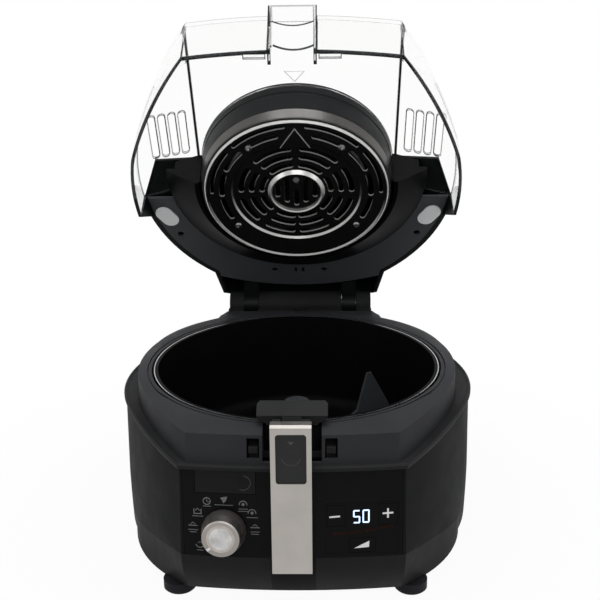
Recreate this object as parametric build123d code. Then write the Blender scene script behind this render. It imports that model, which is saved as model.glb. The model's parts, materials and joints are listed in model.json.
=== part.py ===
from build123d import *
import os
from math import atan2, cos, degrees, hypot, pi, radians, sin, sqrt

os.makedirs("parts", exist_ok=True)

# Frame: millimetres, +Z up, +X to the viewer's right, front at -Y. Everything is drawn about the bowl's
# axis with the lid shut. The lid is then swung open and the whole shifted to the footprint's centre.
AXIS_Y = -12.1
HINGE_Y, HINGE_Z = 183.0, 163.0
LID_OPEN = 59.6

# Clearances and common walls
CLEARANCE = 0.3
RUNNING_FIT = 0.05
WALL = 3.0
SCREW_R = 1.5
# Longer than the object, for cuts that go right through
FAR = 300.0

# Body heights
FOOT_H = 10.0
SKIRT_Z = 9.0
SEAM_Z = 56.0
BODY_TOP_Z = 133.0
LIP_Z = 138.0
CREASE_Z = 160.5
RIM_Z = 165.0

# Plan stations, right half from the front corner to the rear one: (x, y)
LIP_PLAN = [(95, -158.6), (128, -101), (155.5, -34.6), (166.5, 24), (157, 82), (134, 130), (95, 165),
            (86, 192)]
COLLAR_PLAN = [(88.5, -146), (121, -91), (144.5, -30), (149.7, 14), (140.2, 69), (127, 100), (86, 141),
               (80, 172)]
LID_PLAN = [(94.7, -158.6), (124.5, -111), (152, -45), (156.3, -8), (152, 42), (136.5, 84), (90.5, 138),
            (80, 186)]
FRONT_BOW = 6.5
REAR_BOW = 6.0

# Body
SEAM_FRONT, TOP_FRONT = -164.0, -154.0
SEAM_NARROW, TOP_NARROW = 0.5, 2.0
TOP_REAR_IN = 2.0
SKIRT_TUCK, SKIRT_POWER, SKIRT_LEVELS = 22.0, 1.7, 5
PANEL_X, PANEL_T = 92.0, 2.6
LEAN = atan2(TOP_FRONT - SEAM_FRONT, BODY_TOP_Z - SEAM_Z)
DECK_X, DECK_Y = 92.0, 150.0
STIFFENER_Z, STIFFENER_T, STIFFENER_FRONT, STIFFENER_GAP = 86.0, 2.5, -90.0, 4.0
PANEL_BACK = -100.0

# Feet, bottom cover and its screws
FEET = [(102.6, -126.0), (-102.6, -126.0), (96.0, 128.0), (-96.0, 128.0)]
FOOT_R, FOOT_TOE = 14.4, 1.6
COVER_Z = FOOT_H + CLEARANCE
COVER_EDGE = WALL + 1.0
COVER_TONGUE_X, COVER_TONGUE_Y = 78.0, 155.0
COVER_SCREWS = [(x, y) for x in (-70.0, 70.0) for y in (-105.0, 105.0)]
BOSS_R, BOSS_TOP = 5.0, 40.0
SCREW_HEAD_R, SCREW_HEAD_T, SCREW_TOP = 3.4, 1.8, 30.0
GRILLE_PITCH, GRILLE_W, GRILLE_COUNT = 12.0, 4.0, 9
GRILLES_Y = [(-100.0, -60.0), (60.0, 110.0)]

# Cord gland
GLAND_X, GLAND_Z = 60.0, 34.0
GLAND_Y0, GLAND_Y1 = 172.0, 196.0
GLAND_R, GLAND_FLANGE_R, GLAND_FLANGE_T, GLAND_BORE_R = 8.0, 11.0, 5.0, 3.6

# Front panel: boxes are (x0, x1, z0, z1)
KNOB_X, KNOB_Z = -57.3, 79.5
BUTTON = (-81.0, -30.5, 112.0, 131.6)
SCREEN = (27.0, 88.5, 59.0, 104.0)
MINUS = (28.6, 44.0, 84.0, 102.0)
PLUS = (71.6, 87.0, 84.0, 102.0)
LEVEL = (47.0, 69.0, 60.6, 73.0)
KEY_T = 2.0
BUTTON_PLAY = 0.4
KEY_STEM, STEM_W = 4.7, 5.0
SCREEN_PLAY = 0.15
BUTTON_STEM_X, BUTTON_STEM_Z, BUTTON_STEM_W, BUTTON_STEM_H = -40.5, 126.0, 4.0, 8.0
BARREL_X, BARREL_R, BARREL_DEPTH, BEARING_R, BEARING_L = -78.8, 2.0, 3.4, 4.2, 8.0
BUTTON_DIMPLE_X, BUTTON_DIMPLE_Z = -39.4, 119.5
DIMPLE_BALL_R, DIMPLE_DEPTH = 19.6, 1.0

# Board, display and switches
BOARD_X, BOARD_Z, BOARD_DEPTH = 57.75, 82.0, 12.0
BOARD_W, BOARD_H, BOARD_T = 64.0, 60.0, 1.6
DISPLAY_X, DISPLAY_Z, DISPLAY_DEPTH = 57.0, 93.0, 8.5
DISPLAY_W, DISPLAY_H, DISPLAY_T = 20.0, 14.0, 6.8
SWITCH_W, SWITCH_PLAY = 6.0, 1.3

# Dial
KNOB_LIFT, KNOB_H = 0.8, 19.0
KNOB_R, KNOB_FACE_R, KNOB_CUP_R = 18.8, 15.8, 12.2
KNOB_SKIRT, KNOB_BEVEL, KNOB_CUP_DEPTH = 3.0, 1.2, 1.2
KNOB_SHAFT_R, KNOB_SHAFT_L, KNOB_HOLE_R = 3.0, 14.0, 4.0
KNOB_CAP_T = 1.7
POINTER_ANGLE = 223.0
POINTER_L, POINTER_W = 5.0, 2.2
ENCODER_W, ENCODER_T, ENCODER_DEPTH = 22.0, 8.0, 8.6

# Collar
COLLAR_SPREAD, COLLAR_FRONT_SPREAD = 0.6, 5.0
COLLAR_SLOPE = 12.0
COLLAR_WALL, COLLAR_ROOF, WELL_LAND = 2.8, 6.0, 4.5
CHANNEL_X, CHANNEL_FLOOR = 24.5, LIP_Z + 0.2
WINDOW_X0, WINDOW_X1, WINDOW_Z0, WINDOW_Z1 = 27.0, 37.5, 141.0, 158.0
CHEEK_T, CHEEK_Y, CHEEK_L = 3.2, -139.0, 9.0
GROOVE_R, GROOVE_W, GROOVE_DEPTH = 138.2, 1.4, 2.4

# Lip trim
LIP_EDGE, LIP_TURN, LIP_LAND = 0.8, 1.6, 4.5

# Bowl, well and lower heater
BOWL_R, BOWL_FOOT_R = 133.2, 122.0
BOWL_Z, BOWL_T, BOWL_CORNER = 68.0, 1.6, 14.0
BOWL_LIP, BOWL_LIP_T = 2.2, 2.0
TUBE_R, TUBE_BORE, TUBE_TOP = 9.6, 7.4, 112.0
WELL_R, WELL_T = 134.0, 1.0
WELL_FLOOR, WELL_TOP, WELL_HOLE_R = 55.0, 160.0, 30.0
HEATER_R, HEATER_T, HEATER_HOLE_R = 100.0, 5.0, 22.0
HEATER_TOP = BOWL_Z - CLEARANCE
ROD_R, LOWER_ROD_R, ROD_GAP = 3.2, 74.0, 12.0
COLD_END_Z = 41.7
THERMOSTAT_X, THERMOSTAT_Y, THERMOSTAT_R = 42.0, -33.0, 9.0
THERMOSTAT_T, TERMINAL_X, TERMINAL_Y, TERMINAL_T = 10.9, 12.0, 8.0, 3.0

# Drive
SHAFT_R, SHAFT_HEX, SHAFT_FOOT, SHAFT_TOP = 6.0, 10.0, 31.0, 119.0
SHOULDER_Z = TUBE_TOP + 1.0
HEX_PLAY = 0.4
GEARBOX_R, GEARBOX_Z0, GEARBOX_Z1 = 34.0, 28.0, 50.0
MOTOR_R, MOTOR_Z0, MOTOR_X = 19.0, 16.0, -14.0
BEAM_X, BEAM_Y, BEAM_Z0, BEAM_Z1 = 140.0, 12.0, 50.2, 54.4
POST_X, POST_R, LEG_X, LEG_W = 86.0, 5.0, 120.0, 10.0

# Hinge: a fixed block with three knuckles, and two arms of the lid between them
HINGE_R, PIN_R = 13.0, 4.0
ARM_X0, ARM_X1, ARM_GAP = 45.0, 60.0, 0.4
ARM_SIDE = [(154.5, 166), (154.5, 193), (174, 193), (192, 173), (185, 155), (172, 160.5)]
SWING_GAP = 1.5
BLOCK_X, BLOCK_FOOT_X = 76.0, 79.0
BLOCK_Y0, BLOCK_Y1, BLOCK_FACE_Y = 152.0, 195.0, 158.5
BLOCK_SHOULDER_Z, BLOCK_ARM_Z, BLOCK_FACE_Z = 148.0, 158.0, 165.5
DECK_T, DECK_EDGE, DECK_LIFT = 3.0, 7.0, 0.6
NOTCH_X, NOTCH_Y, NOTCH_Z0, NOTCH_Z1 = 7.0, 168.0, 146.0, 170.0

# Latch: a bar with two hooks, fixed to the button's stem
LATCH_X0, LATCH_X1, LATCH_Y0, LATCH_Y1, LATCH_Z0, LATCH_Z1 = -62.0, 36.0, -147.0, -141.0, 124.0, 130.0
HOOK_X0, HOOK_X1, HOOK_TOP = 28.4, 36.0, 150.5
HOOK_Y0, NOSE_Y, NOSE_Z = -148.5, -154.5, 145.6

# Lid
DRUM_Y, DRUM_R, DRUM_Z, DRUM_WALL = 3.0, 92.5, 149.0, 2.6
CREASE_X = 96.0
LID_RIM_Z, LID_TOP_Z, LID_DRAFT = 140.0, 192.0, 2.0
FACET_SLOPE, FACET_FRONT = 0.42, -118.0
CLEAR_T, CLEAR_END = 2.8, 28.0
VISOR_X, VISOR_Y, VISOR_BACK = 21.0, -176.5, -151.0
VISOR_ROOF = 187.2
LIP_X0, LIP_X1, LIP_Y0, LIP_Y1, LIP_T = 22.5, 42.0, -162.5, -156.5, 2.6
VENTS, VENT_PITCH, VENT_STEP = 4, 9.1, -1.2
VENT_X, VENT_Y, VENT_L, VENT_W = 107.2, -39.0, 50.0, 6.0
HOOD_T, HOOD_LAP, HOOD_RIM = 3.0, 1.5, 5.0
HOOD_FRONT = [(60, 8), (98, -1), (137, -13), (152, 30)]
TAIL_Y0, TAIL_Y1, TAIL_Z = 170.0, 186.0, 180.0
HOOD_HOLE_R = 80.0
HOOD_SIDE_Y = 54.0

# Ceiling panel
CEILING_Z, CEILING_T, CEILING_REAR, CEILING_REAR_R = 167.0, 2.6, 157.0, 261.0
CONE_R, CONE_FOOT, CONE_LIP, CONE_FRONT = 126.0, 5.0, 4.0, -7.5
CONE_WALL_X, CONE_WALL_T = 118.0, 2.5
CEILING_HOLES = [(120.5, 79.5), (-120.5, 79.5), (26.0, 134.0), (-26.0, 134.0)]
CEILING_HOLE_R = 3.4
TAB_SLOT_X, TAB_SLOT_W, TAB_Y0, TAB_Y1 = 3.8, 2.8, 130.5, 138.0
PAD_X, PAD_Y, PAD_TURN = 131.5, 54.0, 125.0
PAD_L, PAD_W, PAD_T, PAD_PROUD = 27.0, 17.0, 4.6, 0.8

# Duct, reflector and guard
DRUM_LOW, BEAD_Z, BEAD_DEPTH = 9.0, 178.0, 0.6
DECK_HOLE_R, DUCT_SLOTS, DUCT_SLOT_R, DUCT_SLOT_L, DUCT_SLOT_W = 14.0, 12, 62.0, 22.0, 6.0
REFLECTOR_T, REFLECTOR_Z, REFLECTOR_R = 0.8, 186.0, 30.0
GUARD_Z, GUARD_R, GUARD_T = 146.0, 88.1, 1.4
STEP_R, STEP_H = 61.0, 1.8
SLOT_ROWS, SLOT_W = (33.0, 43.0, 53.0), 5.0
SECTORS = ((64.5, 21.5), (16.5, 17.5), (-27.5, 17.5), (-71.0, 16.5))
OUTER_ROW, OUTER_HALF, OUTER_CENTRES = 71.5, 9.5, (66.0, 34.0, 8.0, -17.0)
EDGE_ROW, EDGE_HALF, EDGE_CENTRES, EDGE_W = 81.0, 18.5, (64.0, 19.0), 3.2
HUB_SLOTS = ((-18, -7, 5), (-9, -15, 12), (0, 0, 16), (9, -15, 12), (18, -7, 5))
HUB_SLOT_W = 4.6
ARROW = [(0, -79), (13.8, -56.5), (-13.8, -56.5)]
ARROW_PROUD = 1.2
GUARD_SCREWS = [(43.0, -56.0), (-43.0, -56.0), (58.0, 43.5), (-58.0, 43.5)]
HUB_SCREW_Y = -14.5
GUARD_SCREW_R, GUARD_SCREW_H = 3.2, 2.3

# Upper heater, fan and cover
ELEMENT_Z, ELEMENT_R, ELEMENT_TOP = 160.0, 66.0, 189.0
FAN_R, FAN_Z0, FAN_Z1, FAN_BLADES = 50.0, 168.0, 181.0, 10
FAN_HUB_R, FAN_SHAFT_R, FAN_PLATE_T = 9.0, 3.0, 1.4
BLADE_L, BLADE_T, BLADE_H, BLADE_TURN = 34.0, 1.4, 11.5, 18.0
FAN_SHAFT_Z0, FAN_SHAFT_Z1 = 162.5, 200.0
MOTOR_CAN_R, MOTOR_CAN_TOP = 27.0, 228.0
NUT_W, NUT_Z0, NUT_Z1 = 10.0, 163.5, 167.7
DOME_TOP, DOME_R, DOME_T, DOME_EDGE = 240.0, 72.0, 2.6, 3.0
DOME_SLOTS, DOME_PITCH, DOME_SLOT_W, DOME_GRILLE_R = 9, 10.0, 4.0, 48.0

# Bowl's handle
PIVOT_Y, PIVOT_Z = -163.0, 170.0
HANDLE_W, HANDLE_TOP, HANDLE_BOTTOM = 33.0, 183.5, 52.0
HANDLE_FRONT, HANDLE_LEAN, HANDLE_DEPTH = -184.0, radians(2.6), 12.0
COVER_T, COVER_SIDE_T, COVER_WRAP, COVER_BEVEL, COVER_INSET = 1.4, 1.15, 9.0, 2.0, 1.5
BAR_GAP, BAR_INSET = 0.1, 1.7
HANDLE_ARM_T = 6.7
SLIDER_X, SLIDER_Z0, SLIDER_Z1, SLIDER_CORNER = 12.4, 133.5, 176.0, 2.6
SLIDER_T, SLIDER_LAP, SLIDER_END, SLIDER_SINK, SLIDER_ROOM = 2.0, 1.8, 2.0, 0.4, 0.6
SLIDER_TRAVEL = 3.5
SLIDER_DIMPLE_Z, SLIDER_BALL_R, SLIDER_DIMPLE = 156.0, 21.4, 1.2
BRACKET_X, NECK_X, KNUCKLE_R, HANDLE_PIN_R, PIN_INSET = 29.5, 8.0, 7.5, 3.0, 1.3
BRACKET_SIDE = [(-127, 181), (-143, 174), (-143, 165.4), (-134.6, RIM_Z + 0.1), (-127, RIM_Z + 0.1)]
BRACKET_FRONT = [(21.5, 160), (21.5, 167), (28.5, 171), (29.5, 174), (29.5, 178), (26.5, 182)]
NECK_SIDE = [(-142, 165.4), (-142, 173.5), (PIVOT_Y, 176), (PIVOT_Y, 163)]

# Stirring paddle, outlined as (x, z) along its blade
PADDLE_AZ, PADDLE_TILT, PADDLE_T = 31.0, -9.0, 3.6
PADDLE_Z = BOWL_Z + BOWL_T + 1.0
BLADE_SIDE = [(8, 0), (102, 0), (107.5, 9), (107.5, 28.4), (90, 63.4), (86, 63.4), (71, 28.4), (44, 14),
              (8, 20)]
PADDLE_HUB = [(0, 0), (17, 0), (15, 14), (12.6, 47.4), (11.5, 55.4), (0, 55.4)]
SCRAPER_SIDE, SCRAPER_R = [(-5, 0), (9, 0), (2, 9), (-1, 9)], 103.0
HUB_PLAY, HUB_ROOM = 0.6, 0.5


# Helpers

def box(x0, x1, y0, y1, z0, z1):
    return Pos((x0 + x1) / 2, (y0 + y1) / 2, (z0 + z1) / 2) * Box(x1 - x0, y1 - y0, z1 - z0)


def from_face(turn, r, length):
    """A cylinder that starts at the origin and runs along the turned Z axis."""
    return turn * Cylinder(r, length, align=(Align.CENTER, Align.CENTER, Align.MIN))


def rod(r, z0, z1, x=0, y=0):
    return Pos(x, y, z0) * from_face(Rot(0, 0, 0), r, z1 - z0)


def cross_rod(r, x0, x1, y, z):
    return Pos(x0, y, z) * from_face(Rot(0, 90, 0), r, x1 - x0)


def rear_rod(r, y0, y1, x, z):
    return Pos(x, y0, z) * from_face(Rot(-90, 0, 0), r, y1 - y0)


def tube(r_in, r_out, z0, z1, x=0, y=0):
    return rod(r_out, z0, z1, x, y) - rod(r_in, z0 - 1, z1 + 1, x, y)


def mirror_x(shape):
    return shape + mirror(shape, about=Plane.YZ)


def side_prism(points, x0, x1):
    """Extrude a (y, z) outline along X."""
    face = make_face(Polyline(*[(0, y, z) for y, z in points], close=True))
    return Pos(x0, 0, 0) * extrude(face, amount=x1 - x0, dir=(1, 0, 0))


def front_prism(points, y0, y1):
    """Extrude an (x, z) outline along Y."""
    face = make_face(Polyline(*[(x, 0, z) for x, z in points], close=True))
    return Pos(0, y0, 0) * extrude(face, amount=y1 - y0, dir=(0, 1, 0))


def plan_prism(points, z0, z1):
    """Extrude an (x, y) outline upwards."""
    face = make_face(Polyline(*[(x, y, 0) for x, y in points], close=True))
    return Pos(0, 0, z0) * extrude(face, amount=z1 - z0, dir=(0, 0, 1))


def both_sides(points):
    """A right-hand outline, bottom to top, closed by its mirror image."""
    return points + [(-x, z) for x, z in reversed(points)]


def turned(points, x=0, y=0):
    """Revolve an (r, z) outline about the vertical."""
    face = make_face(Polyline(*[(r, 0, z) for r, z in points], close=True))
    return Pos(x, y, 0) * revolve(face, Axis.Z)


def slot_prism(length, width, height):
    """A round-ended slot along Y, extruded upwards."""
    return extrude(Rot(0, 0, 90) * SlotOverall(length, width), amount=height)


def drilled(shape, tools):
    for tool in tools:
        shape -= tool
    return shape


def inset(stations, depth):
    """Move each station inwards along the normal of its neighbours' chord."""
    out = []
    for i, (x, y) in enumerate(stations):
        x0, y0 = stations[i - 1] if i else (-x, y)
        x1, y1 = stations[i + 1] if i + 1 < len(stations) else (-x, y)
        length = hypot(x1 - x0, y1 - y0)
        out.append((x - depth * (y1 - y0) / length, y + depth * (x1 - x0) / length))
    return out


def plan_face(stations, z):
    """A face bounded by arcs through the stations, mirrored in x, bowed at the front and rear."""
    s = [(x, y, z) for x, y in stations]
    m = [(-x, y, z) for x, y in stations]
    right = [
        ThreePointArc(s[0], s[1], s[2]),
        ThreePointArc(s[2], s[3], s[4]),
        ThreePointArc(s[4], s[5], s[6]),
        Line(s[6], s[7]),
    ]
    left = [
        Line(m[7], m[6]),
        ThreePointArc(m[6], m[5], m[4]),
        ThreePointArc(m[4], m[3], m[2]),
        ThreePointArc(m[2], m[1], m[0]),
    ]
    front = ThreePointArc(m[0], (0, s[0][1] - FRONT_BOW, z), s[0])
    rear = ThreePointArc(s[7], (0, s[7][1] + REAR_BOW, z), m[7])
    return make_face([front] + right + [rear] + left)


def stack(levels):
    """Ruled loft through (stations, z) levels."""
    return loft([plan_face(stations, z) for stations, z in levels], ruled=True)


# Body forms

def body_stations(front, narrow=0.0, rear_in=0.0):
    """The lip's plan with its front moved to the given corner depth and its flanks drawn in."""
    f = front / LIP_PLAN[0][1]
    g = 1 - rear_in / LIP_PLAN[7][1]
    w = 1 - narrow / LIP_PLAN[3][0]
    return [(x * w, y * (f if y < 0 else g)) for x, y in LIP_PLAN]


def body_block(depth, z0=SEAM_Z, z1=BODY_TOP_Z):
    """The upper body's form inset by a depth."""
    def at(z):
        t = (z - SEAM_Z) / (BODY_TOP_Z - SEAM_Z)
        front = SEAM_FRONT + t * (TOP_FRONT - SEAM_FRONT)
        narrow = SEAM_NARROW + t * (TOP_NARROW - SEAM_NARROW)
        return inset(body_stations(front, narrow, t * TOP_REAR_IN), depth)
    return stack([(at(z0), z0), (at(z1), z1)])


def skirt_block(depth):
    """The lower body, tucked in towards the floor."""
    levels = []
    for i in range(SKIRT_LEVELS):
        z = SEAM_Z + (SKIRT_Z - SEAM_Z) * i / (SKIRT_LEVELS - 1)
        tuck = SKIRT_TUCK * ((SEAM_Z - z) / (SEAM_Z - SKIRT_Z)) ** SKIRT_POWER
        levels.append((inset(body_stations(SEAM_FRONT, SEAM_NARROW), depth + tuck), z))
    return stack(levels)


def panel_point(x, z):
    """A point on the front panel."""
    t = (z - SEAM_Z) / (BODY_TOP_Z - SEAM_Z)
    bow = FRONT_BOW * (1 - (x / LIP_PLAN[0][0]) ** 2)
    return (x, SEAM_FRONT + t * (TOP_FRONT - SEAM_FRONT) - bow, z)


def panel_frame(x, z, out=0.0):
    """A location on the front panel, or a distance outside it, with Z out of it and Y up it."""
    turn = 2 * FRONT_BOW * x / LIP_PLAN[0][0] ** 2
    out_of_it = (turn * cos(LEAN), -cos(LEAN), sin(LEAN))
    face = Plane(origin=panel_point(x, z), x_dir=(1, turn, 0), z_dir=out_of_it)
    return Location(face) * Pos(0, 0, out)


def panel_window(area, play=0.0):
    """A cutter through the front panel over an (x0, x1, z0, z1) area."""
    x0, x1, z0, z1 = area
    return box(x0 - play, x1 + play, -FAR, PANEL_BACK, z0 - play, z1 + play)


def panel_slab(depth, area):
    """A piece of the front panel down to a depth under its face."""
    return (body_block(0) & panel_window(area)) - body_block(depth)


def middle(area):
    x0, x1, z0, z1 = area
    return (x0 + x1) / 2, (z0 + z1) / 2


# Base

def make_feet():
    outline = [(0, 0), (FOOT_R - FOOT_TOE, 0), (FOOT_R, FOOT_TOE), (FOOT_R, COVER_Z), (0, COVER_Z)]
    return [turned(outline, x, y) for x, y in FEET]


def make_lower_housing():
    shell = skirt_block(0) - skirt_block(WALL)
    pockets = [rod(FOOT_R + CLEARANCE, 0, COVER_Z, x, y) for x, y in FEET]
    gland = rear_rod(GLAND_R + CLEARANCE, 0, FAR, GLAND_X, GLAND_Z)
    return drilled(shell, pockets + [gland])


def make_bottom_cover():
    plate = skirt_block(COVER_EDGE) & box(-FAR, FAR, -FAR, FAR, COVER_Z, COVER_Z + WALL)
    plate -= mirror_x(box(COVER_TONGUE_X, FAR, COVER_TONGUE_Y, FAR, 0, BOSS_TOP))
    for i in range(GRILLE_COUNT):
        x = (i - (GRILLE_COUNT - 1) / 2) * GRILLE_PITCH
        for y0, y1 in GRILLES_Y:
            plate -= box(x - GRILLE_W / 2, x + GRILLE_W / 2, y0, y1, 0, BOSS_TOP)
    for x, y in COVER_SCREWS:
        plate += rod(BOSS_R, COVER_Z, BOSS_TOP, x, y)
    return drilled(plate, [rod(SCREW_R, 0, FAR, x, y) for x, y in COVER_SCREWS])


def make_cover_screws():
    return [rod(SCREW_R, COVER_Z, SCREW_TOP, x, y) + rod(SCREW_HEAD_R, COVER_Z - SCREW_HEAD_T, COVER_Z, x, y)
            for x, y in COVER_SCREWS]


def make_cord_gland():
    """Collar with a plain bore for the supply cord, through the rear wall."""
    sleeve = rear_rod(GLAND_R, GLAND_Y0, GLAND_Y1, GLAND_X, GLAND_Z)
    flange = rear_rod(GLAND_FLANGE_R, GLAND_Y0, GLAND_Y0 + GLAND_FLANGE_T, GLAND_X, GLAND_Z)
    return sleeve + flange - rear_rod(GLAND_BORE_R, 0, FAR, GLAND_X, GLAND_Z)


def make_upper_housing():
    """Upper shell, open at the front for the panel, with a stiffening shelf round the well."""
    shell = body_block(0) - body_block(WALL)
    shell -= box(-PANEL_X, PANEL_X, -FAR, PANEL_BACK, 0, FAR)
    shelf = body_block(WALL / 2, STIFFENER_Z, STIFFENER_Z + STIFFENER_T) - rod(WELL_R + STIFFENER_GAP, 0, FAR)
    return shell + (shelf & box(-FAR, FAR, STIFFENER_FRONT, FAR, 0, FAR))


def button_axis():
    """The lid button's hinge line, up the panel behind its left edge."""
    return panel_frame(BARREL_X, middle(BUTTON)[1], -BARREL_DEPTH) * Rot(90, 0, 0)


def button_bearing():
    """Half sleeve behind the panel that holds the button's barrel."""
    sleeve = Cylinder(BEARING_R, BEARING_L) - Cylinder(BARREL_R + RUNNING_FIT, BEARING_L + 1)
    sleeve &= Pos(0, -BEARING_R / 2, 0) * Box(2 * BEARING_R, BEARING_R, BEARING_L)
    reach = BARREL_DEPTH - PANEL_T + CLEARANCE
    x1 = BUTTON[0] - BARREL_X - BUTTON_PLAY
    x0 = x1 - BEARING_R + BARREL_R
    leg = Pos((x0 + x1) / 2, reach / 2, 0) * Box(x1 - x0, reach + 2, BEARING_L)
    return button_axis() * (sleeve + (leg - Cylinder(BARREL_R + RUNNING_FIT, BEARING_L + 1)))


def make_fascia():
    area = (-PANEL_X + CLEARANCE, PANEL_X - CLEARANCE, SEAM_Z + CLEARANCE / 2, BODY_TOP_Z)
    slab = panel_slab(PANEL_T, area)
    slab -= panel_frame(KNOB_X, KNOB_Z) * Cylinder(KNOB_HOLE_R, 2 * KNOB_H)
    slab -= panel_window(BUTTON, BUTTON_PLAY)
    slab -= panel_window(SCREEN, SCREEN_PLAY)
    return slab + button_bearing()


def make_screen():
    """Smoked display window with cut-outs for its three keys."""
    return drilled(panel_slab(PANEL_T, SCREEN),
                   [panel_window(key, CLEARANCE) for key in (MINUS, PLUS, LEVEL)])


def make_key(key):
    """Key cap with a square stem that reaches its switch."""
    start = KEY_T - 0.5
    stem = panel_frame(*middle(key), -(start + KEY_STEM) / 2) * Box(STEM_W, STEM_W, KEY_STEM - start)
    return panel_slab(KEY_T, key) + stem


def make_lid_button():
    """Rocking cap with a thumb dimple, a hinge barrel at its left and a stem that pushes the latch."""
    cap = panel_slab(KEY_T, BUTTON)
    cap -= panel_frame(BUTTON_DIMPLE_X, BUTTON_DIMPLE_Z, DIMPLE_BALL_R - DIMPLE_DEPTH) * Sphere(DIMPLE_BALL_R)
    height = BUTTON[3] - BUTTON[2] - 2
    barrel = button_axis() * Cylinder(BARREL_R, height)
    stem = panel_frame(BUTTON_STEM_X, BUTTON_STEM_Z, -KEY_T - BUTTON_STEM_H) * Box(
        BUTTON_STEM_W, BUTTON_STEM_H, 2 * BUTTON_STEM_H + 1)
    stem &= box(-FAR, FAR, -FAR, LATCH_Y0, 0, FAR)
    return cap + barrel + stem


def board_frame(x=BOARD_X, z=BOARD_Z, depth=0.0):
    """A location over the flat control board, at a depth behind the panel's face."""
    plane = Plane(origin=panel_point(BOARD_X, BOARD_Z), x_dir=(1, 0, 0), z_dir=(0, -cos(LEAN), sin(LEAN)))
    return Location(plane) * Pos(x - BOARD_X, (z - BOARD_Z) / cos(LEAN), -depth)


def make_control_board():
    return board_frame(depth=BOARD_DEPTH + BOARD_T / 2) * Box(BOARD_W, BOARD_H, BOARD_T)


def make_display_module():
    return board_frame(DISPLAY_X, DISPLAY_Z, DISPLAY_DEPTH) * Box(DISPLAY_W, DISPLAY_H, DISPLAY_T)


def make_tactile_switches():
    out = []
    for key in (MINUS, PLUS, LEVEL):
        x, z = middle(key)
        inward = panel_point(x, BOARD_Z)[1] - panel_point(BOARD_X, BOARD_Z)[1]
        height = BOARD_DEPTH - KEY_STEM - SWITCH_PLAY - inward
        out.append(board_frame(x, z, BOARD_DEPTH - height / 2) * Box(SWITCH_W, SWITCH_W, height))
    return out


def make_encoder():
    at = panel_frame(KNOB_X, KNOB_Z, -ENCODER_DEPTH)
    return at * (Box(ENCODER_W, ENCODER_W, ENCODER_T) - Cylinder(KNOB_SHAFT_R + CLEARANCE, 2 * ENCODER_T))


def knob_slot(length, width, height, z):
    """A bar across the dial's rim at the pointer's angle."""
    return (Rot(0, 0, POINTER_ANGLE) * Pos((KNOB_CUP_R + KNOB_FACE_R) / 2 - 0.4, 0, z)
            * Box(length, width, height))


def make_knob():
    top, cup = KNOB_H + KNOB_BEVEL / 2, KNOB_H - KNOB_CUP_DEPTH
    body = turned([(0, KNOB_LIFT), (KNOB_R, KNOB_LIFT), (KNOB_R, KNOB_LIFT + KNOB_SKIRT),
                   (KNOB_FACE_R, KNOB_H),
                   (KNOB_FACE_R - KNOB_BEVEL, top), (KNOB_CUP_R, top), (KNOB_CUP_R, cup), (0, cup)])
    body += rod(KNOB_SHAFT_R, KNOB_LIFT - KNOB_SHAFT_L, KNOB_LIFT + 1)
    return panel_frame(KNOB_X, KNOB_Z) * (body - knob_slot(POINTER_L + 0.4, POINTER_W + 0.4, 3.0, KNOB_H))


def make_knob_cap():
    cup = KNOB_H - KNOB_CUP_DEPTH
    return panel_frame(KNOB_X, KNOB_Z) * rod(KNOB_CUP_R - 0.1, cup, cup + KNOB_CAP_T)


def make_knob_pointer():
    bar = knob_slot(POINTER_L, POINTER_W, 2.0, KNOB_H - 0.4)
    return panel_frame(KNOB_X, KNOB_Z) * (bar & tube(KNOB_CUP_R, KNOB_FACE_R - CLEARANCE, 0, 2 * KNOB_H))


def make_latch():
    """Latch bar with two hooks in the collar's windows, fixed to the button's stem."""
    bar = box(LATCH_X0, LATCH_X1, LATCH_Y0, LATCH_Y1, LATCH_Z0, LATCH_Z1)
    post = box(HOOK_X0, HOOK_X1, HOOK_Y0, LATCH_Y1, LATCH_Z0, HOOK_TOP)
    nose = box(HOOK_X0, HOOK_X1, NOSE_Y, HOOK_Y0 + 0.5, NOSE_Z, HOOK_TOP)
    return bar + mirror_x(post + nose)


# Collar, lip and well

def collar_foot(depth, front):
    low = inset(COLLAR_PLAN, depth)
    return [(low[0][0], low[0][1] - front)] + low[1:]


def collar_block(depth, top=RIM_Z):
    low = collar_foot(depth - COLLAR_SPREAD, COLLAR_FRONT_SPREAD)
    high = inset(COLLAR_PLAN, depth + COLLAR_SLOPE)
    return stack([(low, BODY_TOP_Z + CLEARANCE), (inset(COLLAR_PLAN, depth), CREASE_Z), (high, top)])


def rear_cut():
    return box(-DECK_X, DECK_X, DECK_Y, FAR, 0, FAR)


def make_collar():
    """Faceted collar round the well, with the handle's channel and the latch's two windows."""
    void = collar_block(COLLAR_WALL, RIM_Z - WALL) & box(-FAR, FAR, -FAR, FAR, 0, RIM_Z - COLLAR_ROOF)
    void -= rod(WELL_R + WELL_LAND, 0, FAR)
    body = collar_block(0) - void - rod(WELL_R + WELL_T + CLEARANCE, 0, FAR)
    body -= box(-CHANNEL_X, CHANNEL_X, -FAR, PANEL_BACK, CHANNEL_FLOOR, FAR)
    body -= mirror_x(box(WINDOW_X0, WINDOW_X1, -FAR, CHEEK_Y + 1, WINDOW_Z0, WINDOW_Z1))
    body += mirror_x(box(CHANNEL_X, CHANNEL_X + CHEEK_T, CHEEK_Y - CHEEK_L / 2, CHEEK_Y + CHEEK_L / 2,
                         LIP_Z + 2, RIM_Z - 4))
    groove = tube(GROOVE_R, GROOVE_R + GROOVE_W, RIM_Z - GROOVE_DEPTH, RIM_Z + 1)
    return body - rear_cut() - groove


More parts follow.
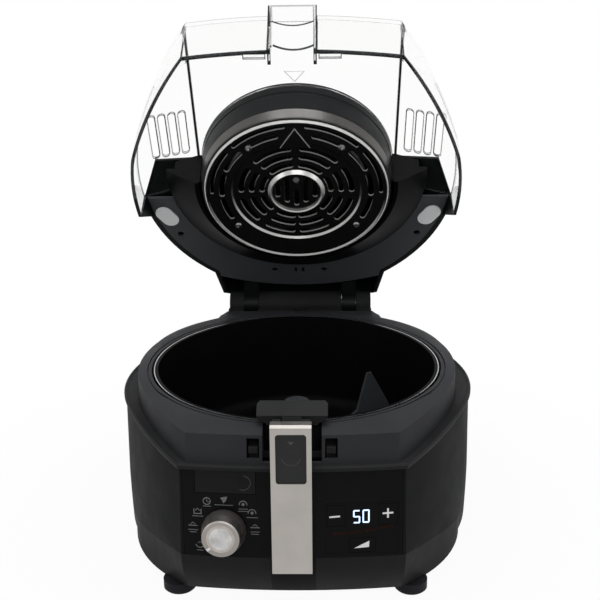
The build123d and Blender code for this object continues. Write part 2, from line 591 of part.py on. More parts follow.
def make_lip_trim():
    outer = stack([(inset(LIP_PLAN, LIP_EDGE), BODY_TOP_Z), (LIP_PLAN, BODY_TOP_Z + LIP_TURN),
                   (LIP_PLAN, LIP_Z - LIP_TURN), (inset(LIP_PLAN, LIP_TURN), LIP_Z - CLEARANCE),
                   (inset(LIP_PLAN, LIP_LAND), LIP_Z - LIP_TURN)])
    hole = collar_foot(-COLLAR_SPREAD - CLEARANCE, COLLAR_FRONT_SPREAD + CLEARANCE)
    return outer - stack([(hole, BODY_TOP_Z - 1), (hole, LIP_Z + 1)]) - rear_cut()


def cold_end_places(r, y=0.0):
    turn = ROD_GAP / r
    return [(s * r * sin(turn), y + r * cos(turn)) for s in (-1, 1)]


def make_well():
    """Round well for the bowl, drilled for the heater's ends, the thermostat and the two posts."""
    outer = WELL_R + WELL_T
    floor = WELL_FLOOR + WELL_T
    cup = turned([(WELL_HOLE_R, WELL_FLOOR), (outer, WELL_FLOOR), (outer, WELL_TOP), (WELL_R, WELL_TOP),
                  (WELL_R, floor), (WELL_HOLE_R, floor)])
    holes = [rod(ROD_R + 2, 0, floor + 1, x, y) for x, y in cold_end_places(LOWER_ROD_R)]
    holes += [rod(POST_R + 1, 0, floor + 1, s * POST_X) for s in (-1, 1)]
    return drilled(cup, holes + [rod(THERMOSTAT_R + 1, 0, floor + 1, THERMOSTAT_X, THERMOSTAT_Y)])


def heater_groove(gap):
    """Room for the lower heater's ring in the underside of its plate."""
    under = HEATER_TOP - HEATER_T
    return tube(LOWER_ROD_R - ROD_R - gap, LOWER_ROD_R + ROD_R + gap, under - 1, under + ROD_R + gap)


def make_lower_heater():
    return tube(HEATER_HOLE_R, HEATER_R, HEATER_TOP - HEATER_T, HEATER_TOP) - heater_groove(CLEARANCE)


def heater_ring(r):
    """A tubular heater bent to a ring, open by a gap at the rear."""
    start = degrees(ROD_GAP / r)
    section = Pos(r, 0, 0) * Rot(90, 0, 0) * RegularPolygon(ROD_R, 8)
    return Rot(0, 0, 90 + start) * revolve(section, Axis.Z, revolution_arc=360 - 2 * start)


def make_lower_element():
    """Tubular heater ring set in the underside of the plate, with two cold ends."""
    under = HEATER_TOP - HEATER_T
    ring = Pos(0, 0, under) * heater_ring(LOWER_ROD_R)
    for x, y in cold_end_places(LOWER_ROD_R):
        ring += rod(ROD_R - 0.4, COLD_END_Z, under, x, y)
    return ring


def make_thermostat():
    x, y, top = THERMOSTAT_X, THERMOSTAT_Y, HEATER_TOP - HEATER_T
    low = top - THERMOSTAT_T
    tabs = box(x - TERMINAL_X / 2, x + TERMINAL_X / 2, y - TERMINAL_Y / 2, y + TERMINAL_Y / 2,
               low - TERMINAL_T, low)
    return rod(THERMOSTAT_R, low, top, x, y) + tabs


# Drive

def make_gearmotor():
    body = rod(GEARBOX_R, GEARBOX_Z0, GEARBOX_Z1) + rod(MOTOR_R, MOTOR_Z0, GEARBOX_Z0, MOTOR_X)
    return body - rod(SHAFT_R + RUNNING_FIT, SHAFT_FOOT - 1, FAR)


def make_motor_frame():
    """Cross beam that carries the gearmotor and the heater's feet."""
    beam = box(-BEAM_X, BEAM_X, -BEAM_Y, BEAM_Y, BEAM_Z0, BEAM_Z1)
    post = rod(POST_R, BEAM_Z1, HEATER_TOP - HEATER_T, POST_X)
    leg = box(LEG_X - LEG_W / 2, LEG_X + LEG_W / 2, -BEAM_Y, BEAM_Y, COVER_Z + WALL, BEAM_Z1)
    return beam + mirror_x(post + leg) - rod(SHAFT_R + 1, 0, BEAM_Z1 + 1)


def hexagon(across, z0, z1):
    return Pos(0, 0, z0) * extrude(RegularPolygon(across / 2, 6, major_radius=False), amount=z1 - z0)


def make_drive_shaft():
    return rod(SHAFT_R, SHAFT_FOOT, SHOULDER_Z) + hexagon(SHAFT_HEX, SHOULDER_Z, SHAFT_TOP)


# Hinge

def hinge_rod(r, x0, x1):
    return cross_rod(r, x0, x1, HINGE_Y, HINGE_Z)


def arm_gaps(y0, y1, z0):
    """Room for the two arms, above a height."""
    return mirror_x(box(ARM_X0 - ARM_GAP, ARM_X1 + ARM_GAP, y0, y1, z0, FAR))


def make_hinge_base():
    """Fixed hinge block with three knuckles behind the well, on a deck that closes the rear of the body."""
    deck = body_block(DECK_EDGE, BODY_TOP_Z - DECK_T, BODY_TOP_Z + DECK_LIFT)
    deck &= box(-DECK_X + 1, DECK_X - 1, DECK_Y, FAR, 0, FAR)
    outline = both_sides([(BLOCK_FOOT_X, BODY_TOP_Z + DECK_LIFT / 2), (BLOCK_FOOT_X, BLOCK_SHOULDER_Z),
                          (BLOCK_X, BLOCK_SHOULDER_Z + 5), (BLOCK_X, HINGE_Z)])
    block = front_prism(outline, BLOCK_Y0, BLOCK_Y1)
    face = box(-BLOCK_X, BLOCK_X, BLOCK_Y0, BLOCK_FACE_Y, BLOCK_SHOULDER_Z, BLOCK_FACE_Z)
    body = block + face + hinge_rod(HINGE_R, -BLOCK_X, BLOCK_X)
    body -= arm_gaps(0, FAR, BLOCK_ARM_Z)
    swing = hinge_rod(HINGE_R + SWING_GAP, ARM_X0 - ARM_GAP, ARM_X1 + ARM_GAP)
    pocket = box(-NOTCH_X, NOTCH_X, 0, NOTCH_Y, NOTCH_Z0, NOTCH_Z1)
    return deck + body - mirror_x(swing) - pocket - hinge_rod(PIN_R + RUNNING_FIT, -FAR, FAR)


def make_hinge_pin():
    return hinge_rod(PIN_R, -BLOCK_X, BLOCK_X)


# Lid, drawn shut

def facet_cutter(top):
    """What is above the two sloping side facets and the flat top panel."""
    drop = FACET_SLOPE * (FAR - CREASE_X)
    wedge = front_prism([(CREASE_X, top), (FAR, top - drop), (FAR, FAR), (CREASE_X, FAR)], FACET_FRONT - 5,
                        FAR)
    ramp = side_prism([(FACET_FRONT, FAR), (FACET_FRONT, top), (FACET_FRONT + 60, top - 50), (FAR, top - 50),
                       (FAR, FAR)], 0, FAR)
    return mirror_x(wedge & ramp) + box(-FAR, FAR, -FAR, FAR, top, FAR)


def lid_block(depth, top, low=LID_RIM_Z):
    """The lid's outer form inset by a depth, under a given top."""
    lid_high = LID_RIM_Z + 65.0
    return stack([(inset(LID_PLAN, depth), low),
                  (inset(LID_PLAN, depth + LID_DRAFT), lid_high)]) - facet_cutter(top)


def vent_slots():
    out = []
    for i in range(VENTS):
        for s in (-1, 1):
            at = Pos(s * (VENT_X + VENT_PITCH * i), VENT_Y + VENT_STEP * i, LID_RIM_Z)
            out.append(at * slot_prism(VENT_L, VENT_W, FAR))
    return out


def make_visor():
    """Front hood over the bowl's handle: a roof and two cheeks."""
    under = VISOR_ROOF
    roof = side_prism([(VISOR_Y, under), (VISOR_Y, under + 0.3), (VISOR_Y + 2.5, LID_TOP_Z),
                       (-160, LID_TOP_Z),
                       (-160, under)], -VISOR_X, VISOR_X)
    cheek = side_prism([(VISOR_Y, under), (VISOR_Y + 2, 172), (-168, 156), (-166, LID_RIM_Z),
                        (VISOR_BACK, LID_RIM_Z),
                        (VISOR_BACK, under)], VISOR_X - CLEAR_T, VISOR_X)
    return roof + mirror_x(cheek)


def make_clear_lid():
    """Clear front half of the lid: faceted shell with visor, catch lips and steam vents."""
    shell = lid_block(0, LID_TOP_Z) - lid_block(CLEAR_T, LID_TOP_Z - CLEAR_T, LID_RIM_Z - 5)
    shell -= box(-FAR, FAR, CLEAR_END, FAR, 0, FAR)
    shell -= rod(DRUM_R + CLEARANCE, 0, FAR, 0, DRUM_Y)
    inner = VISOR_X - CLEAR_T
    shell -= box(-inner, inner, -FAR, VISOR_BACK + 1, 0, VISOR_ROOF)
    lips = box(LIP_X0, LIP_X1, LIP_Y0, LIP_Y1, LID_RIM_Z, LID_RIM_Z + LIP_T)
    return drilled(shell + make_visor() + mirror_x(lips), vent_slots())


def lid_arms():
    """Two hinge arms that turn on the pin."""
    return mirror_x(side_prism(ARM_SIDE, ARM_X0, ARM_X1) + hinge_rod(HINGE_R, ARM_X0, ARM_X1))


def make_hood():
    """Black rear cover: laps over the clear lid, then forms the rear walls down to the collar."""
    top = LID_TOP_Z + HOOD_T
    lap = lid_block(-0.2, top, LID_RIM_Z + 10) - lid_block(-HOOD_LAP, LID_TOP_Z + CLEARANCE, 0)
    lap &= plan_prism([(-x, y) for x, y in HOOD_FRONT] + HOOD_FRONT[::-1], LID_RIM_Z + 20, FAR)
    rear = lid_block(0, top) - lid_block(HOOD_RIM, LID_TOP_Z + 0.1, LID_RIM_Z - 5)
    rear -= lid_block(WALL, LID_TOP_Z, LID_RIM_Z - 5) & box(-FAR, FAR, -FAR, FAR, 0, CEILING_Z)
    edge = CLEAR_END + CLEARANCE
    rear -= side_prism([(-FAR, 0), (-FAR, FAR), (edge, FAR), (edge, LID_RIM_Z), (HOOD_SIDE_Y, CEILING_Z),
                        (TAIL_Y0, CEILING_Z), (TAIL_Y1, TAIL_Z), (FAR, TAIL_Z), (FAR, 0)], -FAR, FAR)
    cap_ring = tube(HOOD_HOLE_R, DRUM_R - 0.5, LID_TOP_Z + CLEARANCE, top, 0, DRUM_Y)
    hood = lap + rear + cap_ring - rod(HOOD_HOLE_R, 0, FAR, 0, DRUM_Y)
    hood -= hinge_rod(HINGE_R + 2.5, -BLOCK_X - 1, BLOCK_X + 1)
    return hood + lid_arms() - hinge_rod(PIN_R + RUNNING_FIT, -FAR, FAR)


def ceiling_recess(depth):
    return lid_block(HOOD_RIM + depth, LID_TOP_Z - depth, LID_RIM_Z - 5)


def pad_places():
    return [Pos(s * PAD_X, PAD_Y, CEILING_Z) * Rot(0, 0, s * PAD_TURN) for s in (-1, 1)]


def make_ceiling():
    """Panel under the rear half of the lid, with a round rear edge and the places of two pads."""
    plate = ceiling_recess(CLEARANCE) & box(-FAR, FAR, CLEAR_END + 1, FAR, CEILING_Z, CEILING_Z + CEILING_T)
    plate &= rod(CEILING_REAR_R, 0, FAR, 0, CEILING_REAR - CEILING_REAR_R)
    plate -= rod(CONE_R + CLEARANCE, 0, FAR)
    plate -= mirror_x(box(ARM_X0 - 1, ARM_X1 + 1, ARM_SIDE[0][0] - 1, FAR, 0, FAR))
    holes = [rod(CEILING_HOLE_R, 0, FAR, x, y) for x, y in CEILING_HOLES]
    for x in (-TAB_SLOT_X, TAB_SLOT_X):
        holes.append(box(x - TAB_SLOT_W / 2, x + TAB_SLOT_W / 2, TAB_Y0, TAB_Y1, 0, FAR))
    for pad in pad_places():
        holes.append(pad * Pos(0, 0, -1)
                     * extrude(SlotOverall(PAD_L + 2 * CLEARANCE, PAD_W + 2 * CLEARANCE), amount=20))
    return drilled(plate, holes)


def make_cone():
    """Cone from the ceiling panel down to the duct, with two walls that close its front."""
    inner = DRUM_R + 1.2
    cone = turned([(CONE_R, CEILING_Z), (CONE_R, CEILING_Z + CEILING_T),
                   (CONE_R - CONE_LIP, CEILING_Z + CEILING_T),
                   (inner, DRUM_Z + CEILING_T), (inner, DRUM_Z), (DRUM_R + CONE_FOOT, DRUM_Z)])
    cone &= box(-FAR, FAR, CONE_FRONT, FAR, 0, FAR)
    top = LID_TOP_Z - CLEAR_T - 2 * CLEARANCE
    high = top - FACET_SLOPE * (CONE_WALL_X - CREASE_X)
    wall = front_prism([(DRUM_R - 2, DRUM_Z + 2), (DRUM_R + CONE_FOOT, DRUM_Z + 1), (CONE_R - 1, CEILING_Z),
                        (CONE_R - 1, CEILING_Z + CEILING_T), (CONE_WALL_X, CEILING_Z + CEILING_T),
                        (CONE_WALL_X, high),
                        (CREASE_X, top), (DRUM_R - 2, top)], CONE_FRONT, CONE_FRONT + CONE_WALL_T)
    return cone + mirror_x(wall) - rod(DRUM_R + CLEARANCE, 0, FAR, 0, DRUM_Y)


def make_pads():
    pad = Pos(0, 0, -PAD_PROUD) * extrude(SlotOverall(PAD_L, PAD_W), amount=PAD_T)
    return [at * pad for at in pad_places()]


def make_drum():
    """Air duct wall round the heater, seen through the clear lid, with a slotted deck on top."""
    foot, bead = DRUM_Z + DRUM_LOW, DRUM_R - BEAD_DEPTH
    wall = turned([(DRUM_R - DRUM_WALL, foot), (DRUM_R, foot), (DRUM_R, BEAD_Z), (bead, BEAD_Z + 1),
                   (bead, BEAD_Z + 3),
                   (DRUM_R, BEAD_Z + 4), (DRUM_R, LID_TOP_Z), (DRUM_R - DRUM_WALL, LID_TOP_Z)], 0, DRUM_Y)
    deck = tube(DECK_HOLE_R, DRUM_R - 2, LID_TOP_Z - DRUM_WALL, LID_TOP_Z, 0, DRUM_Y)
    for i in range(DUCT_SLOTS):
        slot = (Rot(0, 0, i * 360 / DUCT_SLOTS) * Pos(DUCT_SLOT_R, 0, LID_TOP_Z)
                * Box(DUCT_SLOT_L, DUCT_SLOT_W, 10))
        deck -= Pos(0, DRUM_Y, 0) * slot
    return wall + deck


def make_guard_frame():
    """Polished ring under the duct that holds the element guard."""
    inner, high = GUARD_R + CLEARANCE, DRUM_Z + DRUM_LOW - CLEARANCE
    return turned([(inner, GUARD_Z + 1), (DRUM_R - 2.6, GUARD_Z + 1.4), (DRUM_R - 0.2, high),
                   (DRUM_R - 2.8, high),
                   (inner, DRUM_Z + 1)], 0, DRUM_Y)


def make_reflector():
    """Thin reflector between the upper heater and the fan's deck."""
    r, t = DRUM_R - DRUM_WALL - 2 * CLEARANCE, REFLECTOR_T
    foot = DRUM_Z + DRUM_LOW + 0.2
    shell = turned([(r - t, foot), (r, foot), (r, REFLECTOR_Z), (REFLECTOR_R, REFLECTOR_Z + 1.4),
                    (REFLECTOR_R, REFLECTOR_Z + 1.4 - t), (r - t, REFLECTOR_Z - t)], 0, DRUM_Y)
    return drilled(shell, [rod(ROD_R + t, REFLECTOR_Z - 5, FAR, x, y)
                           for x, y in cold_end_places(ELEMENT_R, DRUM_Y)])


def arc_slot(r, mid, half, width):
    """A slot with round ends along an arc. Angles run from +X towards the front."""
    def at(radius, angle):
        return (radius * cos(radians(-angle)), radius * sin(radians(-angle)), 0)
    a0, a1, w = mid - half, mid + half, width / 2
    tip = degrees(w / r)
    edges = [
        ThreePointArc(at(r + w, a0), at(r + w, mid), at(r + w, a1)),
        ThreePointArc(at(r + w, a1), at(r, a1 + tip), at(r - w, a1)),
        ThreePointArc(at(r - w, a1), at(r - w, mid), at(r - w, a0)),
        ThreePointArc(at(r - w, a0), at(r, a0 - tip), at(r + w, a0)),
    ]
    return extrude(make_face(edges), amount=30, dir=(0, 0, 1))


def guard_slots():
    """Three rows in the dish, broken by spokes, two outer rows and the grille of the hub."""
    out = []
    for r in SLOT_ROWS:
        tip = degrees(SLOT_W / 2 / r)
        for mid, half in SECTORS:
            out += [arc_slot(r, a, half - tip, SLOT_W) for a in (mid, 180 - mid)]
    for mid in OUTER_CENTRES:
        out += [arc_slot(OUTER_ROW, a, OUTER_HALF, SLOT_W) for a in (mid, 180 - mid)]
    for mid in EDGE_CENTRES:
        out += [arc_slot(EDGE_ROW, a, EDGE_HALF, EDGE_W) for a in (mid, 180 - mid)]
    for x, y0, y1 in HUB_SLOTS:
        out.append(Pos(x, (y0 + y1) / 2, 0) * slot_prism(y1 - y0 + HUB_SLOT_W, HUB_SLOT_W, 30))
    return [Pos(0, 0, GUARD_Z - 5) * slot for slot in out]


def make_guard():
    """Enamelled element guard: dished disc with rows of arc slots, an arrow and a rolled edge."""
    z, t, h = GUARD_Z, GUARD_T, STEP_H
    disc = turned([(0, z + h), (STEP_R, z + h), (STEP_R + 1.6, z), (GUARD_R - 3.2, z),
                   (GUARD_R - 1.6, z - 1.2),
                   (GUARD_R, z), (GUARD_R, z + t), (STEP_R + 2.4, z + t), (STEP_R + 0.8, z + h + t),
                   (0, z + h + t)])
    disc = drilled(disc, guard_slots())
    return Pos(0, DRUM_Y, 0) * (disc + plan_prism(ARROW, z - ARROW_PROUD, z + t / 2))


def make_guard_ring():
    z = GUARD_Z + STEP_H
    return turned([(23.0, z), (23.6, z - 2.4), (24.8, z - 3.2), (27.4, z)], 0, DRUM_Y)


def make_guard_screws():
    r, h = GUARD_SCREW_R, GUARD_SCREW_H
    places = [(x, y, GUARD_Z) for x, y in GUARD_SCREWS] + [(0, HUB_SCREW_Y, GUARD_Z + STEP_H)]
    return [turned([(0, z), (r, z), (r - 0.6, z - 0.8 * h), (0, z - h)], x, y + DRUM_Y) for x, y, z in places]


def make_upper_element():
    ring = Pos(0, DRUM_Y, ELEMENT_Z) * heater_ring(ELEMENT_R)
    for x, y in cold_end_places(ELEMENT_R, DRUM_Y):
        ring += rod(ROD_R - 0.4, ELEMENT_Z, ELEMENT_TOP, x, y)
    return ring


def make_fan():
    """Fan wheel: hub, back plate and straight blades set at an angle to the radius."""
    bore = FAN_SHAFT_R + RUNNING_FIT
    wheel = tube(bore, FAN_HUB_R, FAN_Z0, FAN_Z1, 0, DRUM_Y)
    wheel += tube(bore, FAN_R, FAN_Z1, FAN_Z1 + FAN_PLATE_T, 0, DRUM_Y)
    for i in range(FAN_BLADES):
        out = Rot(0, 0, i * 360 / FAN_BLADES) * Pos(FAN_R - BLADE_L / 2 - 3, 0, 0) * Rot(0, 0, BLADE_TURN)
        wheel += Pos(0, DRUM_Y, FAN_Z1 - BLADE_H / 2 + 0.2) * out * Box(BLADE_L, BLADE_T, BLADE_H)
    return wheel


def make_fan_shaft():
    return rod(FAN_SHAFT_R, FAN_SHAFT_Z0, FAN_SHAFT_Z1, 0, DRUM_Y)


def make_fan_nut():
    nut = Pos(0, DRUM_Y, 0) * hexagon(NUT_W, NUT_Z0, NUT_Z1)
    return nut - rod(FAN_SHAFT_R + RUNNING_FIT, 0, FAR, 0, DRUM_Y)


def make_fan_motor():
    can = rod(MOTOR_CAN_R, LID_TOP_Z + 1, MOTOR_CAN_TOP, 0, DRUM_Y)
    return can - rod(FAN_SHAFT_R + CLEARANCE, 0, FAN_SHAFT_Z1 + 2, 0, DRUM_Y)


def make_top_cover():
    """Cover over the fan's motor: a cone with a bevelled edge and a slotted top."""
    z0, t, r = LID_TOP_Z + HOOD_T + 0.1, DOME_T, DRUM_R - 0.6
    body = turned([(r - t, z0), (r, z0), (DOME_R, DOME_TOP - DOME_EDGE), (DOME_R - DOME_EDGE, DOME_TOP),
                   (0, DOME_TOP),
                   (0, DOME_TOP - t), (DOME_R - DOME_EDGE - t, DOME_TOP - t)], 0, DRUM_Y)
    for i in range(DOME_SLOTS):
        x = (i - (DOME_SLOTS - 1) / 2) * DOME_PITCH
        half = sqrt(DOME_GRILLE_R ** 2 - x ** 2)
        body -= box(x - DOME_SLOT_W / 2, x + DOME_SLOT_W / 2, DRUM_Y - half, DRUM_Y + half, DOME_TOP - 10,
                    FAR)
    return body


# Bowl group

def make_bowl():
    """Tapered bowl with a round corner, a rolled lip and a centre tube for the drive."""
    t, z, c, f, lip = BOWL_T, BOWL_Z, BOWL_CORNER, BOWL_FOOT_R, BOWL_R - BOWL_LIP
    k = c * (1 - cos(pi / 4))
    side = f + (lip - f) * c / (RIM_Z - z)
    under = RIM_Z - BOWL_LIP_T
    outline = [
        Line((TUBE_BORE, 0, z), (f - c, 0, z)),
        ThreePointArc((f - c, 0, z), (f - k, 0, z + k), (side, 0, z + c)),
        Line((side, 0, z + c), (lip, 0, under - 0.4)),
        Line((lip, 0, under - 0.4), (BOWL_R, 0, under)),
        Line((BOWL_R, 0, under), (BOWL_R, 0, RIM_Z)),
        Line((BOWL_R, 0, RIM_Z), (lip - t, 0, RIM_Z)),
        Line((lip - t, 0, RIM_Z), (side - t, 0, z + c)),
        ThreePointArc((side - t, 0, z + c), (f - t - k + 0.4, 0, z + t + k - 0.4), (f - c, 0, z + t)),
        Line((f - c, 0, z + t), (TUBE_R, 0, z + t)),
        Line((TUBE_R, 0, z + t), (TUBE_R, 0, TUBE_TOP)),
        Line((TUBE_R, 0, TUBE_TOP), (TUBE_BORE, 0, TUBE_TOP)),
        Line((TUBE_BORE, 0, TUBE_TOP), (TUBE_BORE, 0, z)),
    ]
    return revolve(make_face(outline), Axis.Z)


def pivot_rod(r, half):
    return cross_rod(r, -half, half, PIVOT_Y, PIVOT_Z)


def make_bracket():
    """Handle bracket over the bowl's rim: wide head, chamfered below, and a knuckle in front."""
    head = side_prism(BRACKET_SIDE, -BRACKET_X, BRACKET_X)
    head &= front_prism(both_sides(BRACKET_FRONT), -FAR, 0)
    body = head + side_prism(NECK_SIDE, -NECK_X, NECK_X) + pivot_rod(KNUCKLE_R, NECK_X)
    return body - pivot_rod(HANDLE_PIN_R, BRACKET_X)


def handle_front(z):
    """Depth of the handle's front face at a height."""
    return HANDLE_FRONT - (HANDLE_TOP - z) * sin(HANDLE_LEAN)


def along_handle(d0, d1, z0, z1, half):
    """A slab parallel to the handle's front between two depths under it and two heights."""
    top, low = handle_front(z1), handle_front(z0)
    return side_prism([(top + d0, z1), (top + d1, z1), (low + d1, z0), (low + d0, z0)], -half, half)


def make_handle():
    """Inner bar of the handle, with two arms to the pivot and a pocket for the slider."""
    half, skin = HANDLE_W / 2, COVER_T + BAR_GAP
    bar = along_handle(skin, HANDLE_DEPTH, HANDLE_BOTTOM + BAR_INSET, HANDLE_TOP - BAR_INSET,
                       half - COVER_SIDE_T - BAR_GAP)
    root, top = handle_front(HANDLE_TOP) + HANDLE_DEPTH - 1, HANDLE_TOP - BAR_INSET
    arm = side_prism([(root, top), (PIVOT_Y - 4, top), (PIVOT_Y + 5, PIVOT_Z + 6), (PIVOT_Y + 7, PIVOT_Z),
                      (PIVOT_Y, PIVOT_Z - 8), (root, PIVOT_Z - 14)], NECK_X + SLIDER_ROOM,
                     NECK_X + SLIDER_ROOM + HANDLE_ARM_T)
    room = along_handle(-1, COVER_T + SLIDER_T + 2 * SLIDER_SINK, SLIDER_Z0 - SLIDER_END - 1,
                        SLIDER_Z1 + SLIDER_END + SLIDER_TRAVEL + 2, SLIDER_X + SLIDER_LAP + SLIDER_ROOM)
    return bar + mirror_x(arm) - pivot_rod(HANDLE_PIN_R + RUNNING_FIT, HANDLE_W) - room


def make_handle_cover():
    """Metal skin folded round the handle's front and sides, with the slider's window."""
    z1, z0, half, b, s = HANDLE_TOP, HANDLE_BOTTOM, HANDLE_W / 2, COVER_BEVEL, COVER_INSET
    y1, y0, wrap = handle_front(HANDLE_TOP), handle_front(HANDLE_BOTTOM), COVER_WRAP
    skin = side_prism([(y1, z1 - b), (y1 + b, z1), (y1 + wrap, z1), (y1 + wrap, z1 - s),
                       (y0 + wrap - 1, z0 + s),
                       (y0 + wrap - 1, z0), (y0 + s, z0), (y0, z0 + b)], -half, half)
    core = side_prism([(y1 + COVER_T, z1 - s), (y1 + 2 * wrap, z1 - s), (y0 + 2 * wrap, z0 + s),
                       (y0 + COVER_T, z0 + s)],
                      -half + COVER_SIDE_T, half - COVER_SIDE_T)
    window = RectangleRounded(2 * SLIDER_X, SLIDER_Z1 - SLIDER_Z0, SLIDER_CORNER)
    return skin - core - Pos(0, 0, (SLIDER_Z0 + SLIDER_Z1) / 2) * Rot(90, 0, 0) * extrude(window, amount=FAR)


def make_slider():
    depth = COVER_T + SLIDER_SINK
    plate = along_handle(depth, depth + SLIDER_T, SLIDER_Z0 - SLIDER_END, SLIDER_Z1 + SLIDER_END,
                         SLIDER_X + SLIDER_LAP)
    ball = handle_front(SLIDER_DIMPLE_Z) + depth + SLIDER_DIMPLE - SLIDER_BALL_R
    return plate - Pos(0, ball, SLIDER_DIMPLE_Z) * Sphere(SLIDER_BALL_R)


def make_handle_pin():
    return pivot_rod(HANDLE_PIN_R, HANDLE_W / 2 - PIN_INSET)


def make_paddle():
    """Stirring paddle: hub over the bowl's tube, a scraper each way and one tall triangular blade."""
    blade = Rot(PADDLE_TILT, 0, 0) * front_prism(BLADE_SIDE, -PADDLE_T / 2, PADDLE_T / 2)
    scraper = side_prism(SCRAPER_SIDE, -SCRAPER_R, SCRAPER_R)
    body = Pos(0, 0, PADDLE_Z) * (turned(PADDLE_HUB) + Rot(0, 0, PADDLE_AZ) * (blade + scraper))
    body -= box(-FAR, FAR, -FAR, FAR, 0, PADDLE_Z)
    body -= rod(TUBE_R + HUB_PLAY, 0, SHOULDER_Z + HUB_ROOM)
    return body - hexagon(SHAFT_HEX + 2 * HEX_PLAY, SHOULDER_Z, SHAFT_TOP + HUB_ROOM)


# Export

BASE, LID, BOWL = "base", "lid", "bowl"

NODES = {
    "rubber_feet": (BASE, make_feet),
    "bottom_cover": (BASE, make_bottom_cover),
    "bottom_cover_screws": (BASE, make_cover_screws),
    "lower_housing": (BASE, make_lower_housing),
    "cord_gland": (BASE, make_cord_gland),
    "upper_housing": (BASE, make_upper_housing),
    "control_fascia": (BASE, make_fascia),
    "display_window": (BASE, make_screen),
    "display_module": (BASE, make_display_module),
    "control_board": (BASE, make_control_board),
    "key_switches": (BASE, make_tactile_switches),
    "minus_key": (BASE, lambda: make_key(MINUS)),
    "plus_key": (BASE, lambda: make_key(PLUS)),
    "power_level_key": (BASE, lambda: make_key(LEVEL)),
    "lid_button": (BASE, make_lid_button),
    "lid_latch": (BASE, make_latch),
    "selector_encoder": (BASE, make_encoder),
    "selector_knob": (BASE, make_knob),
    "knob_cap": (BASE, make_knob_cap),
    "knob_pointer": (BASE, make_knob_pointer),
    "lip_trim": (BASE, make_lip_trim),
    "collar": (BASE, make_collar),
    "bowl_well": (BASE, make_well),
    "lower_heater_plate": (BASE, make_lower_heater),
    "lower_element": (BASE, make_lower_element),
    "thermostat": (BASE, make_thermostat),
    "gearmotor": (BASE, make_gearmotor),
    "motor_frame": (BASE, make_motor_frame),
    "drive_shaft": (BASE, make_drive_shaft),
    "hinge_base": (BASE, make_hinge_base),
    "hinge_pin": (BASE, make_hinge_pin),
    "clear_lid": (LID, make_clear_lid),
    "lid_hood": (LID, make_hood),
    "lid_ceiling": (LID, make_ceiling),
    "duct_cone": (LID, make_cone),
    "ceiling_pads": (LID, make_pads),
    "duct_drum": (LID, make_drum),
    "heat_reflector": (LID, make_reflector),
    "guard_frame": (LID, make_guard_frame),
    "element_guard": (LID, make_guard),
    "guard_ring": (LID, make_guard_ring),
    "guard_screws": (LID, make_guard_screws),
    "upper_element": (LID, make_upper_element),
    "fan_impeller": (LID, make_fan),
    "fan_shaft": (LID, make_fan_shaft),
    "fan_nut": (LID, make_fan_nut),
    "fan_motor": (LID, make_fan_motor),
    "top_cover": (LID, make_top_cover),
    "bowl": (BOWL, make_bowl),
    "handle_bracket": (BOWL, make_bracket),
    "handle": (BOWL, make_handle),
    "handle_cover": (BOWL, make_handle_cover),
    "handle_slider": (BOWL, make_slider),
    "handle_pin": (BOWL, make_handle_pin),
    "paddle": (BOWL, make_paddle),
}


def placed(group, shape):
    if group == LID:
        shape = Pos(0, HINGE_Y, HINGE_Z) * Rot(-LID_OPEN, 0, 0) * Pos(0, -HINGE_Y, -HINGE_Z) * shape
    return Pos(0, AXIS_Y, 0) * shape


def solids_of(made):
    parts = made if isinstance(made, list) else [made]
    return [solid for part in parts for solid in part.solids()]


for name, (group, make) in NODES.items():
    solids = [placed(group, solid) for solid in solids_of(make())]
    whole = solids[0] if len(solids) == 1 else Compound(children=solids)
    export_step(whole, f"parts/{name}.step")
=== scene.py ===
import bpy
import json
from math import atan2, cos, hypot, pi, radians, sin, tau
from mathutils import Matrix, Vector


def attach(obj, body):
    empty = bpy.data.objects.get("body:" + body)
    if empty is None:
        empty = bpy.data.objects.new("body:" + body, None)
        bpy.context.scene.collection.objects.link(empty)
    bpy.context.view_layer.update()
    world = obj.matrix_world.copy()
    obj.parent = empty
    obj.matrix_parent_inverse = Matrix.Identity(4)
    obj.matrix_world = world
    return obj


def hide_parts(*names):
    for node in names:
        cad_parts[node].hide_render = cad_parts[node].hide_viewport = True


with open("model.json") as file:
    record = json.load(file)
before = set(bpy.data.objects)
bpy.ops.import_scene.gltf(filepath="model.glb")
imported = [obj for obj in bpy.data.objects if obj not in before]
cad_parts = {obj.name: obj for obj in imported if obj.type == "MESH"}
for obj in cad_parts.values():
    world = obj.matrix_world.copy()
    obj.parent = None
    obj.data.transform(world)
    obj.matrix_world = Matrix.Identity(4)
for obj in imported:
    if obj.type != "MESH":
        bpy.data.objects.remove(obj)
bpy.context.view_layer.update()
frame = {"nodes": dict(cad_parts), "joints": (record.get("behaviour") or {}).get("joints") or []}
joints = {joint["name"]: joint for joint in frame["joints"]}

# Sizes are in millimetres about the bowl's axis, with the lid shut, as the object is drawn

MM = 0.001
AXIS_Y = joints["paddle_spin"]["pos_m"][1] / MM
HINGE_Y = joints["lid_hinge"]["pos_m"][1] / MM - AXIS_Y
HINGE_Z = joints["lid_hinge"]["pos_m"][2] / MM
LID_OPEN = -radians(joints["lid_hinge"]["range_deg"][0])
SCALE = Matrix.Scale(MM, 4)
BASE = SCALE @ Matrix.Translation((0, AXIS_Y, 0))
LID = (SCALE @ Matrix.Translation((0, HINGE_Y + AXIS_Y, HINGE_Z)) @ Matrix.Rotation(-LID_OPEN, 4, "X")
       @ Matrix.Translation((0, -HINGE_Y, -HINGE_Z)))
LID_UP = (0.0, sin(LID_OPEN), cos(LID_OPEN))
LID_FRONT = (0.0, -cos(LID_OPEN), sin(LID_OPEN))
DRUM_Y = 3.0

# The front panel leans back, and bows between the housing's corners

